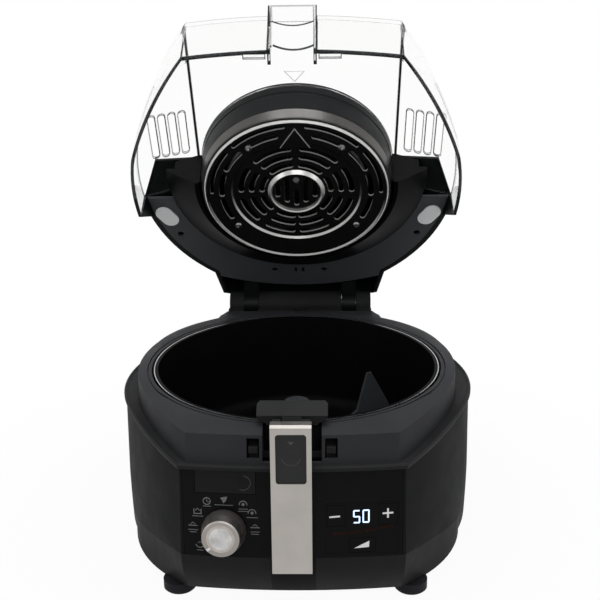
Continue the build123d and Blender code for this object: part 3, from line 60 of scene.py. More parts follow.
BOW, CORNER_X = 6.5, 95.0
SEAM_FRONT, TOP_FRONT = -164.0, -154.0
SEAM_Z, TOP_Z = 56.0, 133.0
LEAN = atan2(TOP_FRONT - SEAM_FRONT, TOP_Z - SEAM_Z)


def panel(x, z, out=0.0):
    """A point on the front panel, or a little outside it."""
    t = (z - SEAM_Z) / (TOP_Z - SEAM_Z)
    y = SEAM_FRONT + t * (TOP_FRONT - SEAM_FRONT) - BOW * (1 - (x / CORNER_X) ** 2)
    return (x, y - out * cos(LEAN), z + out * sin(LEAN))


# Node helpers

GRAIN_DEPTH = 0.2 * MM


class Tree:
    """The node tree of a material or world, with short calls."""

    def __init__(self, owner, output):
        owner.use_nodes = True
        self.owner = owner
        self.nodes = owner.node_tree.nodes
        self.links = owner.node_tree.links
        self.nodes.clear()
        self.out = self.nodes.new(output)
        self.coord = self.nodes.new("ShaderNodeTexCoord").outputs["Object"]

    def add(self, kind, inputs=None, **props):
        """A new node. Its inputs are values or other nodes' sockets."""
        node = self.nodes.new(kind)
        for key, value in props.items():
            setattr(node, key, value)
        for key, value in (inputs or {}).items():
            if isinstance(value, bpy.types.NodeSocket):
                self.links.new(value, node.inputs[key])
            else:
                node.inputs[key].default_value = value
        return node

    def show(self, shader):
        """Make a shader node the one that is seen, and return the tree's owner."""
        self.links.new(shader.outputs[0], self.out.inputs["Surface"])
        return self.owner

    def noise(self, scale, detail=3.0, stretch=None):
        """Noise that stays with the object, with its size in waves per metre."""
        where = self.coord
        if stretch:
            where = self.add("ShaderNodeMapping", {"Vector": where, "Scale": stretch}).outputs[0]
        texture = self.add("ShaderNodeTexNoise", {"Vector": where, "Scale": scale, "Detail": detail})
        return texture.outputs["Fac"]

    def mix(self, factor, a, b):
        """A colour between two colours, whose sockets are numbers 6 and 7."""
        return self.add("ShaderNodeMix", {0: factor, 6: a, 7: b}, data_type="RGBA").outputs[2]

    def bump(self, height, strength):
        inputs = {"Height": height, "Strength": strength, "Distance": GRAIN_DEPTH}
        return self.add("ShaderNodeBump", inputs).outputs["Normal"]

    def vector(self, operation, a, b=(0.0, 0.0, 0.0), c=(0.0, 0.0, 0.0)):
        """A node of vector maths, whose result may be a vector or a value."""
        return self.add("ShaderNodeVectorMath", {0: a, 1: b, 2: c}, operation=operation)

    def maths(self, operation, a, b=0.0):
        return self.add("ShaderNodeMath", {0: a, 1: b}, operation=operation).outputs[0]

    def times(self, result, *others):
        """The product of values."""
        for other in others:
            result = self.maths("MULTIPLY", result, other)
        return result

    def most(self, result, *others):
        """The largest of values."""
        for other in others:
            result = self.maths("MAXIMUM", result, other)
        return result

    def minus(self, a, b):
        return self.maths("SUBTRACT", a, b)

    def off(self, value, middle=0.0):
        """How far a value is from a middle, either way."""
        return self.maths("ABSOLUTE", self.minus(value, middle))

    def above(self, value, limit):
        return self.maths("GREATER_THAN", value, limit)

    def below(self, value, limit):
        return self.maths("LESS_THAN", value, limit)

    def span(self, value, low, high, start=0.3, end=0.7):
        """Low up to the start, high from the end on, and in step between them."""
        inputs = {"Value": value, "From Min": start, "From Max": end, "To Min": low, "To Max": high}
        return self.add("ShaderNodeMapRange", inputs).outputs["Result"]

    def past(self, value, edge, blur):
        """0 up to an edge, and 1 from a blur beyond it."""
        return self.span(value, 0.0, 1.0, edge, edge + blur)

    def before(self, value, edge, blur):
        """1 up to an edge, and 0 from a blur beyond it."""
        return self.span(value, 1.0, 0.0, edge, edge + blur)

    def dim(self, mask, level):
        """1 off the mask, and a lower level on it."""
        return self.span(mask, 1.0, level, 0.0, 1.0)


def material(name):
    """The empty node tree of a new material."""
    return Tree(bpy.data.materials.new(name), "ShaderNodeOutputMaterial")


def rgb(*colour):
    """Red, green and blue, or one value for a grey, with full opacity."""
    return tuple(colour) + (1.0,) if len(colour) == 3 else (colour[0],) * 3 + (1.0,)


# Plain materials: two colours to drift between, roughness range, grain, bump, patch and stretch

COLOUR_DETAIL, GRAIN_DETAIL, ROUGHNESS_PATCH = 4.0, 2.0, 2.3


def surface(name, low, high, rough=(0.4, 0.5), grain=900.0, bump=0.1, patch=18.0, stretch=None, **sockets):
    """Moulded or sheet surface: colour and roughness drift, with a fine grain in the bump."""
    tree = material(name)
    drift = tree.noise(patch, COLOUR_DETAIL)
    fine = tree.noise(grain, GRAIN_DETAIL, stretch)
    colour = tree.mix(tree.span(drift, 0.0, 1.0), rgb(*low), rgb(*high))
    roughness = tree.span(tree.noise(patch * ROUGHNESS_PATCH, stretch=stretch), *rough)
    values = {"Base Color": colour, "Roughness": roughness, "Normal": tree.bump(fine, bump)}
    values.update({key.replace("_", " "): value for key, value in sockets.items()})
    return tree.show(tree.add("ShaderNodeBsdfPrincipled", values))


BRUSHED_ACROSS, BRUSHED_UP = (1.0, 0.05, 0.05), (1.0, 1.0, 0.08)

charcoal = surface("charcoal_satin", (0.0185, 0.0187, 0.0195), (0.022, 0.0222, 0.023),
                   (0.46, 0.54), 1600, 0.12, Specular_IOR_Level=0.03)
collar_grey = surface("collar_grey", (0.031, 0.0315, 0.034), (0.036, 0.0365, 0.039),
                      (0.46, 0.54), 1600, 0.12, Specular_IOR_Level=0.03)
body_black = surface("body_black", (0.0098, 0.01, 0.0104), (0.0118, 0.012, 0.0125),
                     (0.5, 0.58), 1600, 0.12, Specular_IOR_Level=0.02)
well_grey = surface("well_grey", (0.008, 0.008, 0.0082), (0.011, 0.011, 0.0113),
                    (0.5, 0.6), 900, 0.1, Specular_IOR_Level=0.03)
slider_grey = surface("slider_grey", (0.0145, 0.0147, 0.015), (0.017, 0.0172, 0.0175),
                      (0.3, 0.38), 1300, 0.06, Specular_IOR_Level=0.2)
ceiling_grey = surface("ceiling_grey", (0.05, 0.052, 0.055), (0.058, 0.06, 0.064),
                       (0.45, 0.52), 1500, 0.1, Specular_IOR_Level=0.1)
gloss = surface("black_gloss", (0.0045, 0.0045, 0.0047), (0.006, 0.006, 0.0062),
                (0.24, 0.3), 700, 0.03, Specular_IOR_Level=0.05)
button_black = surface("button_black", (0.008, 0.008, 0.0085), (0.010, 0.010, 0.0106),
                       (0.36, 0.44), 1300, 0.08, Specular_IOR_Level=0.08)
bracket_black = surface("bracket_black", (0.0085, 0.0088, 0.0087), (0.0105, 0.0109, 0.0107),
                        (0.4, 0.48), 1200, 0.1, Specular_IOR_Level=0.1)
hood_black = surface("hood_black", (0.0055, 0.0063, 0.0063), (0.0072, 0.0082, 0.0082),
                     (0.34, 0.42), 1200, 0.08, Specular_IOR_Level=0.08)
cone_black = surface("cone_black", (0.0024, 0.0024, 0.0028), (0.0033, 0.0033, 0.0037),
                     (0.3, 0.38), 900, 0.05, Specular_IOR_Level=0.03)
drum_black = surface("drum_black", (0.0035, 0.0038, 0.0042), (0.005, 0.0054, 0.006),
                     (0.34, 0.42), 900, 0.05, Specular_IOR_Level=0.06)
dark_inside = surface("dark_inside", (0.003, 0.003, 0.003), (0.0045, 0.0045, 0.0045),
                      (0.5, 0.6), 900, 0.1, Specular_IOR_Level=0.03)
silver = surface("silver_metal", (0.36, 0.34, 0.315), (0.42, 0.395, 0.37),
                 (0.32, 0.4), 500, 0.06, 30.0, BRUSHED_ACROSS, Metallic=1.0)
steel = surface("steel", (0.5, 0.5, 0.49), (0.6, 0.6, 0.59),
                (0.25, 0.36), 600, 0.05, 25.0, BRUSHED_UP, Metallic=1.0)
hot_steel = surface("hot_steel", (0.05, 0.05, 0.05), (0.09, 0.09, 0.088),
                    (0.35, 0.45), 600, 0.05, 25.0, Metallic=1.0)
polished = surface("polished", (0.36, 0.355, 0.35), (0.5, 0.49, 0.48),
                   (0.24, 0.34), 400, 0.04, 30.0, Metallic=1.0)
aluminium = surface("aluminium", (0.55, 0.55, 0.55), (0.65, 0.65, 0.66),
                    (0.36, 0.46), 700, 0.08, 20.0, Metallic=1.0)
motor_steel = surface("motor_steel", (0.3, 0.3, 0.3), (0.38, 0.38, 0.39),
                      (0.35, 0.45), 700, 0.05, 20.0, Metallic=1.0)
pad_grey = surface("pad_grey", (0.78, 0.78, 0.78), (0.84, 0.84, 0.84), (0.55, 0.62), 1500, 0.12)
rubber = surface("foot_rubber", (0.011, 0.011, 0.013), (0.015, 0.015, 0.0175),
                 (0.6, 0.7), 1200, 0.2, Specular_IOR_Level=0.12)
paddle_black = surface("paddle_black", (0.026, 0.028, 0.031), (0.032, 0.034, 0.037),
                       (0.4, 0.48), 1300, 0.12, Specular_IOR_Level=0.2)
smoked = surface("smoked_window", (0.0042, 0.0042, 0.0046), (0.0052, 0.0052, 0.0056),
                 (0.1, 0.14), 300, 0.01, Specular_IOR_Level=0.05)
board_green = surface("board", (0.01, 0.06, 0.03), (0.015, 0.08, 0.04), (0.4, 0.5), 500, 0.05)
white_mark = surface("white_mark", (0.75, 0.75, 0.75), (0.82, 0.82, 0.82), (0.45, 0.5), 900, 0.02)
legend = surface("legend", (0.1, 0.1, 0.1), (0.14, 0.14, 0.14), (0.45, 0.5), 900, 0.02)
lamp_red = surface("lamp_red", (0.013, 0.0065, 0.005), (0.019, 0.009, 0.007),
                   (0.5, 0.6), 600, 0.03, Specular_IOR_Level=0.03)
# Lighter grey of the slider's arrow and of the dimples' crescents: painted highlight
mark_highlight = surface("mark_highlight", (0.028, 0.028, 0.03), (0.034, 0.034, 0.036), (0.4, 0.5), 900, 0.03)
# Dark colour of the visor's ribs: painted shade
clear_rib_shade = surface("clear_rib_shade", (0.012, 0.013, 0.014), (0.02, 0.021, 0.022), (0.2, 0.3), 900, 0.03)
# Light colour of the arrow moulded in the clear lid: painted highlight
clear_arrow_highlight = surface("clear_arrow_highlight", (0.72, 0.72, 0.72), (0.8, 0.8, 0.8), (0.3, 0.4), 900, 0.03)

# Where a point of a surface is in the drawing


def drawn(tree, point=None):
    """A point's x, y and z as the object is drawn."""
    moved = tree.vector("MULTIPLY_ADD", point or tree.coord, (1 / MM,) * 3, (0.0, -AXIS_Y, 0.0))
    return tree.add("ShaderNodeSeparateXYZ", {"Vector": moved.outputs[0]}).outputs


def drawn_shut(tree):
    """The same for a point of the lid, which is drawn shut."""
    centre = (0.0, (HINGE_Y + AXIS_Y) * MM, HINGE_Z * MM)
    inputs = {"Vector": tree.coord, "Center": centre, "Angle": LID_OPEN}
    shut = tree.add("ShaderNodeVectorRotate", inputs, rotation_type="X_AXIS")
    return drawn(tree, shut.outputs[0])


def from_upright(tree, x, y, centre_y=0.0):
    """Distance from an upright axis in the middle plane."""
    arm = tree.minus(y, centre_y)
    return tree.maths("SQRT", tree.maths("ADD", tree.times(x, x), tree.times(arm, arm)))


def from_dial(tree):
    """Distance from the dial's axis."""
    dial = joints["knob_turn"]
    arm = tree.vector("SUBTRACT", tree.coord, dial["pos_m"]).outputs[0]
    side = tree.vector("CROSS_PRODUCT", arm, dial["axis"]).outputs[0]
    return tree.times(tree.vector("LENGTH", side).outputs["Value"], 1 / MM)


EDGE_SAMPLES, EDGE_START, EDGE_FULL = 6, 0.9985, 0.984


def rounded(tree, radius):
    """The normal as it is where edges are rounded to a radius."""
    return tree.add("ShaderNodeBevel", {"Radius": radius * MM}, samples=EDGE_SAMPLES).outputs[0]


def edges(tree, radius):
    """1 near a real edge and 0 on the faces between."""
    face = tree.add("ShaderNodeNewGeometry").outputs["Normal"]
    same = tree.vector("DOT_PRODUCT", rounded(tree, radius), face).outputs["Value"]
    return tree.span(same, 0.0, 1.0, EDGE_START, EDGE_FULL)


# Materials in two parts, each with a function that says where the second part is

PART_GRAIN, PART_PATCH, PART_BUMP = 900.0, 60.0, 0.05


def two_part(name, share, first, second, coarse=24.0):
    """One surface over another: each is its two colours, roughness, metal share and specular level."""
    tree = material(name)
    shaders = []
    for low, high, rough, metal, level in (first, second):
        drift = tree.noise(coarse, COLOUR_DETAIL)
        shader = tree.add("ShaderNodeBsdfPrincipled", {
            "Base Color": tree.mix(tree.span(drift, 0.0, 1.0), rgb(*low), rgb(*high)),
            "Roughness": tree.span(tree.noise(PART_PATCH), *rough), "Metallic": metal,
            "Specular IOR Level": level, "Normal": tree.bump(tree.noise(PART_GRAIN), PART_BUMP)})
        shaders.append(shader.outputs[0])
    return tree.show(tree.add("ShaderNodeMixShader", {0: share(tree), 1: shaders[0], 2: shaders[1]}))


# Where the guard carries a painted highlight
GUARD_ROLL_R, GUARD_EDGE = 87.3, 0.7
UPRIGHT_WALL = 0.5
GUARD_FLAT, GUARD_LIT, LIT_FROM, LIT_TO = 0.0, 0.9, 0.06, 0.3


def guard_painted_highlight(tree):
    """Painted highlight on the guard's rolled edge, on the walls of its slots and arrow, and on the edges
    that face the front and catch the light.
    """
    x, y, z = drawn_shut(tree)
    roll = tree.above(from_upright(tree, x, y, DRUM_Y), GUARD_ROLL_R)
    face = tree.add("ShaderNodeTexCoord").outputs["Normal"]
    level = tree.vector("DOT_PRODUCT", face, LID_UP).outputs["Value"]
    walls = tree.below(tree.off(level), UPRIGHT_WALL)
    towards = tree.vector("DOT_PRODUCT", rounded(tree, GUARD_EDGE), LID_FRONT).outputs["Value"]
    return tree.most(roll, walls, tree.span(towards, GUARD_FLAT, GUARD_LIT, LIT_FROM, LIT_TO))


FRAME_FOOT_R, FRAME_FOOT_BLUR = 89.9, 0.5
FRAME_MIDDLE, FRAME_SIDE, MIDDLE_X, SIDE_X = 0.4, 0.8, 30.0, 80.0


def frame_satin_and_reflection(tree):
    """The duct's lower ring is satin metal, partly a painted reflection: it is a little darker in the middle
    of its front, and black at its foot.
    """
    x, y, z = drawn_shut(tree)
    foot = tree.past(from_upright(tree, x, y, DRUM_Y), FRAME_FOOT_R, FRAME_FOOT_BLUR)
    return tree.times(tree.span(tree.off(x), FRAME_MIDDLE, FRAME_SIDE, MIDDLE_X, SIDE_X), foot)


KNOB_DISC_R, KNOB_DISC_BLUR = 9.4, 0.4
KNOB_FACE_R, KNOB_FACE_BLUR = 17.2, 0.6


def cap_disc(tree):
    """The start disc in the middle of the dial's cap."""
    return tree.before(from_dial(tree), KNOB_DISC_R, KNOB_DISC_BLUR)


def knob_side_shade(tree):
    """The dial's side, outside its face, drawn darker: painted shade."""
    return tree.past(from_dial(tree), KNOB_FACE_R, KNOB_FACE_BLUR)


RECESS_HALF, RECESS_BLUR, RECESS_REAR = 18.8, 0.6, -127.9
SEAM_FALL, SEAM_BLUR = 0.258, 0.4


def chin_shade_and_tone(tree):
    """Painted shade in the recess under the handle, and the darker tone of the flanks above the line that
    falls towards the rear.
    """
    x, y, z = drawn(tree)
    recess = tree.times(tree.below(y, RECESS_REAR), tree.before(tree.off(x), RECESS_HALF, RECESS_BLUR))
    line = tree.minus(SEAM_Z, tree.times(tree.minus(y, SEAM_FRONT), SEAM_FALL))
    return tree.most(recess, tree.past(tree.minus(z, line), 0.0, SEAM_BLUR))


# Painted highlight round the bowl's inner edge: radius, half width and blur, and the height it starts from
RIM_LINE_R, RIM_LINE_HALF, RIM_LINE_BLUR = 132.9, 0.4, 0.3
RIM_LINE_Z, RIM_LINE_Z_BLUR = 164.1, 0.4


def bowl_rim_highlight(tree):
    """A painted highlight: a thin band of bright metal round the bowl's inner edge, on top of its rim."""
    x, y, z = drawn(tree)
    band = tree.before(tree.off(from_upright(tree, x, y), RIM_LINE_R), RIM_LINE_HALF, RIM_LINE_BLUR)
    return tree.times(band, tree.past(z, RIM_LINE_Z, RIM_LINE_Z_BLUR))


BLACK_ENAMEL = ((0.006, 0.006, 0.0063), (0.0085, 0.0085, 0.009), (0.14, 0.22), 0.0, 0.25)
# Bright colour of the guard's edges: a painted highlight
EDGE_HIGHLIGHT = ((0.55, 0.545, 0.53), (0.68, 0.67, 0.655), (0.3, 0.4), 0.3, 0.5)
NONSTICK = ((0.0016, 0.0016, 0.0017), (0.0023, 0.0023, 0.0024), (0.4, 0.5), 0.0, 0.03)
# Bright metal of the bowl's rim line: a painted highlight
RIM_HIGHLIGHT = ((0.45, 0.45, 0.45), (0.6, 0.6, 0.6), (0.25, 0.35), 1.0, 0.5)
FRAME_BLACK = ((0.006, 0.006, 0.006), (0.009, 0.009, 0.009), (0.3, 0.4), 0.0, 0.2)
# Satin metal of the duct's lower ring, which also stands for a painted reflection
FRAME_SATIN = ((0.12, 0.116, 0.112), (0.16, 0.155, 0.15), (0.3, 0.36), 1.0, 0.5)
KNOB_FACE = ((0.25, 0.232, 0.218), (0.31, 0.29, 0.272), (0.34, 0.42), 1.0, 0.5)
# A darker copy of the dial's face colour for its side: painted shade
KNOB_SIDE_SHADE = ((0.06, 0.052, 0.05), (0.085, 0.075, 0.072), (0.34, 0.44), 0.4, 0.5)
KNOB_RING = ((0.36, 0.325, 0.30), (0.44, 0.40, 0.375), (0.36, 0.44), 1.0, 0.5)
KNOB_DISC = ((0.38, 0.375, 0.37), (0.58, 0.575, 0.57), (0.34, 0.4), 1.0, 0.5)
CHIN = ((0.0175, 0.0175, 0.018), (0.0205, 0.0205, 0.021), (0.48, 0.56), 0.0, 0.03)
# Painted shade under the handle, and the darker tone of the flanks above the seam
CHIN_DARK = ((0.0085, 0.0085, 0.0088), (0.0105, 0.0105, 0.011), (0.48, 0.56), 0.0, 0.02)

# Black enamel with a painted highlight on the guard's edges and slot walls
enamel = two_part("black_enamel", guard_painted_highlight, BLACK_ENAMEL, EDGE_HIGHLIGHT)
# Non-stick coating with a painted highlight round the bowl's inner edge
nonstick = two_part("nonstick", bowl_rim_highlight, NONSTICK, RIM_HIGHLIGHT)
# The duct's lower ring: satin metal, with a painted reflection in how it changes across the front
frame_satin = two_part("frame_satin", frame_satin_and_reflection, FRAME_BLACK, FRAME_SATIN)
# The dial's face, with painted shade on its side
knob_shell = two_part("knob_shell", knob_side_shade, KNOB_FACE, KNOB_SIDE_SHADE)
knob_disc = two_part("knob_disc", cap_disc, KNOB_RING, KNOB_DISC, coarse=140.0)
# Lower housing, with painted shade under the handle
chin = two_part("chin", chin_shade_and_tone, CHIN, CHIN_DARK)

# Lit digits

DIGIT_BLUE, DIGIT_STRENGTH, DIGIT_ROUGH = (0.62, 0.78, 1.0), 1.0, 0.3
DIGIT_RIPPLE, DIGIT_DIM = 400.0, 0.92


def glow(name, colour, strength):
    """A lit surface, with a faint ripple in its brightness."""
    tree = material(name)
    ripple = tree.span(tree.noise(DIGIT_RIPPLE), DIGIT_DIM, 1.0)
    tint = tree.mix(ripple, rgb(0.0), rgb(*colour))
    return tree.show(tree.add("ShaderNodeBsdfPrincipled", {
        "Base Color": tint, "Emission Color": tint, "Emission Strength": strength, "Roughness": DIGIT_ROUGH}))


digit_glow = glow("digit_glow", DIGIT_BLUE, DIGIT_STRENGTH)

# Clear lid, with painted shade on its rim, folds and creases

LIPS_FRONT, LIPS_REAR, LIPS_HALF = -161.5, -155.0, 43.2
LID_RIM_Z, LID_RIM_BLUR = 141.7, 0.7
FOLD_R = 1.6
VISOR_ROOF_Z, VISOR_REAR, VISOR_FOLDS = 186.0, -150.0, 0.5
RAMP_X, RAMP_REAR, RAMP_Z, RAMP_FOLDS = 98.5, -100.0, 146.0, 0.12
CREASE_X, CREASE_HALF, CREASE_BLUR, CREASE_Z = 96.0, 0.8, 0.6, 184.0
CHEEK_X, CHEEK_HALF, CHEEK_REAR = 20.5, 0.65, -152.0
# Tints of the clear plastic and of its painted shade
CLEAR_TINT, DARK_TINT = rgb(0.985, 0.985, 0.983), rgb(0.012, 0.013, 0.014)
SHADOW_TINT = rgb(0.93, 0.93, 0.93)
CLEAR_ROUGH, CLEAR_IOR, DARK_SHARE = 0.02, 1.14, 0.7
RIPPLE_SIZE, RIPPLE_DETAIL, RIPPLE_BUMP = 30.0, 2.0, 0.02


def lid_painted_shade(tree):
    """Painted shade on the lid's rim, folds and creases, for the dark look that thick clear plastic has
    there.
    """
    x, y, z = drawn_shut(tree)
    wide = tree.off(x)
    lips = tree.times(tree.above(y, LIPS_FRONT), tree.below(y, LIPS_REAR), tree.below(wide, LIPS_HALF))
    rim = tree.times(tree.before(z, LID_RIM_Z, LID_RIM_BLUR), tree.dim(lips, 0.0))
    visor = tree.times(tree.above(z, VISOR_ROOF_Z), tree.below(y, VISOR_REAR))
    ramp = tree.times(tree.above(wide, RAMP_X), tree.below(y, RAMP_REAR), tree.above(z, RAMP_Z))
    folds = tree.times(edges(tree, FOLD_R), tree.dim(visor, VISOR_FOLDS), tree.dim(ramp, RAMP_FOLDS))
    crease = tree.times(tree.before(tree.off(wide, CREASE_X), CREASE_HALF, CREASE_BLUR),
                        tree.above(z, CREASE_Z))
    cheek = tree.times(tree.below(tree.off(wide, CHEEK_X), CHEEK_HALF), tree.below(y, CHEEK_REAR))
    return tree.most(rim, crease, folds, cheek)


def clear_plastic(name):
    """Clear moulded plastic with painted shade on its edges, which casts a faint shadow."""
    tree = material(name)
    dark = lid_painted_shade(tree)
    ripple = tree.noise(RIPPLE_SIZE, RIPPLE_DETAIL)
    shader = tree.add("ShaderNodeBsdfPrincipled", {
        "Base Color": tree.mix(dark, CLEAR_TINT, DARK_TINT), "Roughness": CLEAR_ROUGH, "IOR": CLEAR_IOR,
        "Transmission Weight": tree.minus(1.0, tree.times(dark, DARK_SHARE)),
        "Normal": tree.bump(ripple, RIPPLE_BUMP)})
    faint = tree.add("ShaderNodeBsdfTransparent", {"Color": SHADOW_TINT})
    shadow_ray = tree.add("ShaderNodeLightPath").outputs["Is Shadow Ray"]
    return tree.show(tree.add("ShaderNodeMixShader", {
        0: shadow_ray, 1: shader.outputs[0], 2: faint.outputs[0]}))


clear = clear_plastic("clear_plastic")

# Each solid's material

LOOKS = {
    "rubber_feet": rubber, "bottom_cover": charcoal, "bottom_cover_screws": steel, "cord_gland": rubber,
    "lower_housing": chin, "upper_housing": body_black, "lip_trim": charcoal, "collar": collar_grey,
    "control_fascia": gloss, "display_window": smoked, "display_module": gloss,
    "control_board": board_green, "key_switches": gloss,
    "minus_key": smoked, "plus_key": smoked, "power_level_key": smoked,
    "lid_button": button_black, "lid_latch": charcoal,
    "selector_encoder": steel, "selector_knob": knob_shell, "knob_cap": knob_disc, "knob_pointer": white_mark,
    "bowl_well": well_grey, "lower_heater_plate": aluminium, "lower_element": steel, "thermostat": steel,
    "gearmotor": motor_steel, "motor_frame": steel, "drive_shaft": steel,
    "hinge_base": charcoal, "hinge_pin": steel, "clear_lid": clear, "lid_hood": hood_black,
    "lid_ceiling": ceiling_grey, "ceiling_pads": pad_grey, "duct_cone": cone_black, "duct_drum": drum_black,
    "heat_reflector": dark_inside, "guard_frame": frame_satin, "element_guard": enamel,
    "guard_ring": polished, "guard_screws": steel, "upper_element": hot_steel,
    "fan_impeller": hot_steel, "fan_shaft": hot_steel, "fan_nut": hot_steel, "fan_motor": motor_steel,
    "top_cover": hood_black, "bowl": nonstick, "handle_bracket": bracket_black, "handle": charcoal,
    "handle_cover": silver, "handle_slider": slider_grey, "handle_pin": steel, "paddle": paddle_black,
}
WELD, SHARP_ANGLE = 1e-6, radians(24)


def smoothing():
    """Geometry nodes that join the facets' corners and smooth all but the real edges."""
    tree = bpy.data.node_groups.new("smooth_facets", "GeometryNodeTree")
    tree.interface.new_socket("Geometry", in_out="INPUT", socket_type="NodeSocketGeometry")
    tree.interface.new_socket("Geometry", in_out="OUTPUT", socket_type="NodeSocketGeometry")
    new, link = tree.nodes.new, tree.links.new
    source, sink = new("NodeGroupInput"), new("NodeGroupOutput")
    weld = new("GeometryNodeMergeByDistance")
    weld.inputs["Distance"].default_value = WELD
    soft = new("GeometryNodeSetShadeSmooth")
    soft.domain = "FACE"
    angle = new("GeometryNodeInputMeshEdgeAngle")
    sharp = new("FunctionNodeCompare")
    sharp.operation = "GREATER_THAN"
    sharp.inputs[1].default_value = SHARP_ANGLE
    hard = new("GeometryNodeSetShadeSmooth")
    hard.domain = "EDGE"
    hard.inputs["Shade Smooth"].default_value = False
    link(source.outputs[0], weld.inputs["Geometry"])
    link(weld.outputs["Geometry"], soft.inputs["Geometry"])
    link(angle.outputs["Unsigned Angle"], sharp.inputs[0])
    link(soft.outputs["Geometry"], hard.inputs["Geometry"])
    link(sharp.outputs["Result"], hard.inputs["Selection"])
    link(hard.outputs["Geometry"], sink.inputs[0])
    return tree


SMOOTH = smoothing()


def smooth(obj):
    """Smooth an object's facets, but not its real edges."""
    obj.modifiers.new("smooth", "NODES").node_group = SMOOTH


for node, look in LOOKS.items():
    solid = frame["nodes"][node]
    solid.data.materials.clear()
    solid.data.materials.append(look)
    smooth(solid)

# Mesh helpers


def mesh(name, body, look, points, faces, place):
    """A mesh from points in the drawing frame, put where place says, riding on a body."""
    data = bpy.data.meshes.new(name)
    data.from_pydata([place @ Vector(p) for p in points], [], faces)
    data.validate()
    data.update()
    obj = bpy.data.objects.new(name, data)
    bpy.context.scene.collection.objects.link(obj)
    data.materials.append(look)
    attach(obj, body)
    return obj


def plates(name, body, look, outlines, surface_at, place, out=0.12, sink=0.1):
    """Thin printed or raised marks: each outline becomes a closed plate that follows a surface."""
    points, faces = [], []
    for outline in outlines:
        k, first = len(outline), len(points)
        points += [surface_at(*p, out) for p in outline] + [surface_at(*p, -sink) for p in outline]
        faces.append(tuple(range(first, first + k)))
        faces.append(tuple(range(first + 2 * k - 1, first + k - 1, -1)))
        faces += [(first + i, first + k + i, first + k + (i + 1) % k, first + (i + 1) % k) for i in range(k)]
    return mesh(name, body, look, points, faces, place)


def stroke(points, width):
    """Quads along a polyline."""
    quads = []
    for (x0, z0), (x1, z1) in zip(points, points[1:]):
        length = hypot(x1 - x0, z1 - z0)
        dx, dz = (x1 - x0) / length * width / 2, (z1 - z0) / length * width / 2
        quads.append([(x0 - dx - dz, z0 - dz + dx), (x0 - dx + dz, z0 - dz - dx),
                      (x1 + dx + dz, z1 + dz - dx), (x1 + dx - dz, z1 + dz + dx)])
    return quads


def arc(x, z, r, start, end, steps=10, squash=1.0):
    """Points on an arc, angles in degrees."""
    turns = [radians(start + (end - start) * i / steps) for i in range(steps + 1)]
    return [(x + r * cos(a), z + r * squash * sin(a)) for a in turns]


def moved(shapes, x, z):
    """Outlines drawn about the origin, moved to x, z."""
    return [[(x + a, z + b) for a, b in shape] for shape in shapes]


def wrapped(rings, k):
    """Faces between rings of k points each, the last ring joined to the first."""
    return [(i * k + j, (i + 1) % rings * k + j, (i + 1) % rings * k + (j + 1) % k, i * k + (j + 1) % k)
            for i in range(rings) for j in range(k)]


# Marks on the front panel: generic dish signs round the dial, with a plain line or two under each

THIN, THICK = 0.55, 0.8
FIRST_LINE_Z, SECOND_LINE_Z = -4.4, -6.4


def ring_sign():
    return stroke(arc(0, 0, 3.0, 0, 360, 16), THICK) + stroke([(0, 2), (0, 0), (1.8, -0.6)], THIN)


def fan_sign():
    return [[(-3, 1.8), (-1.4, 0), (-0.4, -2.8), (1.6, -1.2), (3.2, 3.2), (0, 2.6)]]


def dome_sign():
    return stroke(arc(0, -0.6, 3.2, 0, 180, 10), THICK) + [arc(0, -0.4, 1.3, 0, 360, 10)[:-1]]


def pot_sign():
    pot = stroke([(-3, 1.6), (-3, -2.2), (3, -2.2), (3, 1.6)], THICK)
    return pot + stroke([(-1.6, 0.6), (0, 2.6), (1.6, 0.6)], THIN)


def steam_sign():
    return stroke([(-3.4, -0.6), (3.4, -0.6)], THICK) + stroke([(-1.8, 0.8), (0, 2.2), (1.8, 0.8)], THIN)


def plate_sign():
    return stroke(arc(0, 1.4, 3.4, 200, 340, 8), THICK) + stroke([(-1.4, 2), (0, 3), (1.4, 2)], THIN)


def underline(length, z):
    """A plain line where the panel has a sign's name."""
    return stroke([(-length / 2, z), (length / 2, z)], THIN)


# Each sign's place, and the length of the line under it
SIGNS = [
    (ring_sign, -71.4, 104.6, 6), (fan_sign, -57.2, 106.1, 15), (dome_sign, -41.0, 103.2, 7),
    (dome_sign, -33.7, 95.9, 9), (steam_sign, -31.4, 83.3, 7), (pot_sign, -79.4, 95.4, 9),
    (steam_sign, -83.6, 83.2, 8), (plate_sign, -78.2, 65.3, 5),
]
SECOND_LINES = [(-41.0, 103.2, 8), (-31.4, 83.3, 6), (-83.6, 83.2, 5)]

legends = []
for sign, x, z, length in SIGNS:
    legends += moved(sign() + underline(length, FIRST_LINE_Z), x, z)
for x, z, length in SECOND_LINES:
    legends += moved(underline(length, SECOND_LINE_Z), x, z)
plates("panel_signs", "base", legend, legends, panel, BASE)

# Lit digits, four dim power bars, and the marks on the three keys

SEGMENTS = {
    "top": ((0, 2), (1, 2)), "middle": ((0, 1), (1, 1)), "bottom": ((0, 0), (1, 0)),
    "upper_left": ((0, 1), (0, 2)), "lower_left": ((0, 0), (0, 1)),
    "upper_right": ((1, 1), (1, 2)), "lower_right": ((1, 0), (1, 1)),
}
FIVE = ("top", "middle", "bottom", "upper_left", "lower_right")
ZERO = ("top", "bottom", "upper_left", "lower_left", "upper_right", "lower_right")
DIGITS = [(FIVE, 50.8, 86.6), (ZERO, 58.6, 86.8)]
DIGIT_W, DIGIT_H, SEGMENT_W, SEGMENT_GAP = 4.7, 5.2, 1.25, 0.12
POWER_BARS = [(33.0, 77.2), (46.2, 78.0), (59.4, 79.6), (72.0, 81.6)]
POWER_BAR, POWER_BAR_H = ((1.6, 0.0), (10.2, 0.7)), 3.0
KEY_MARK_W = 1.5
MINUS = [(31.2, 92.0), (38.6, 92.5)]
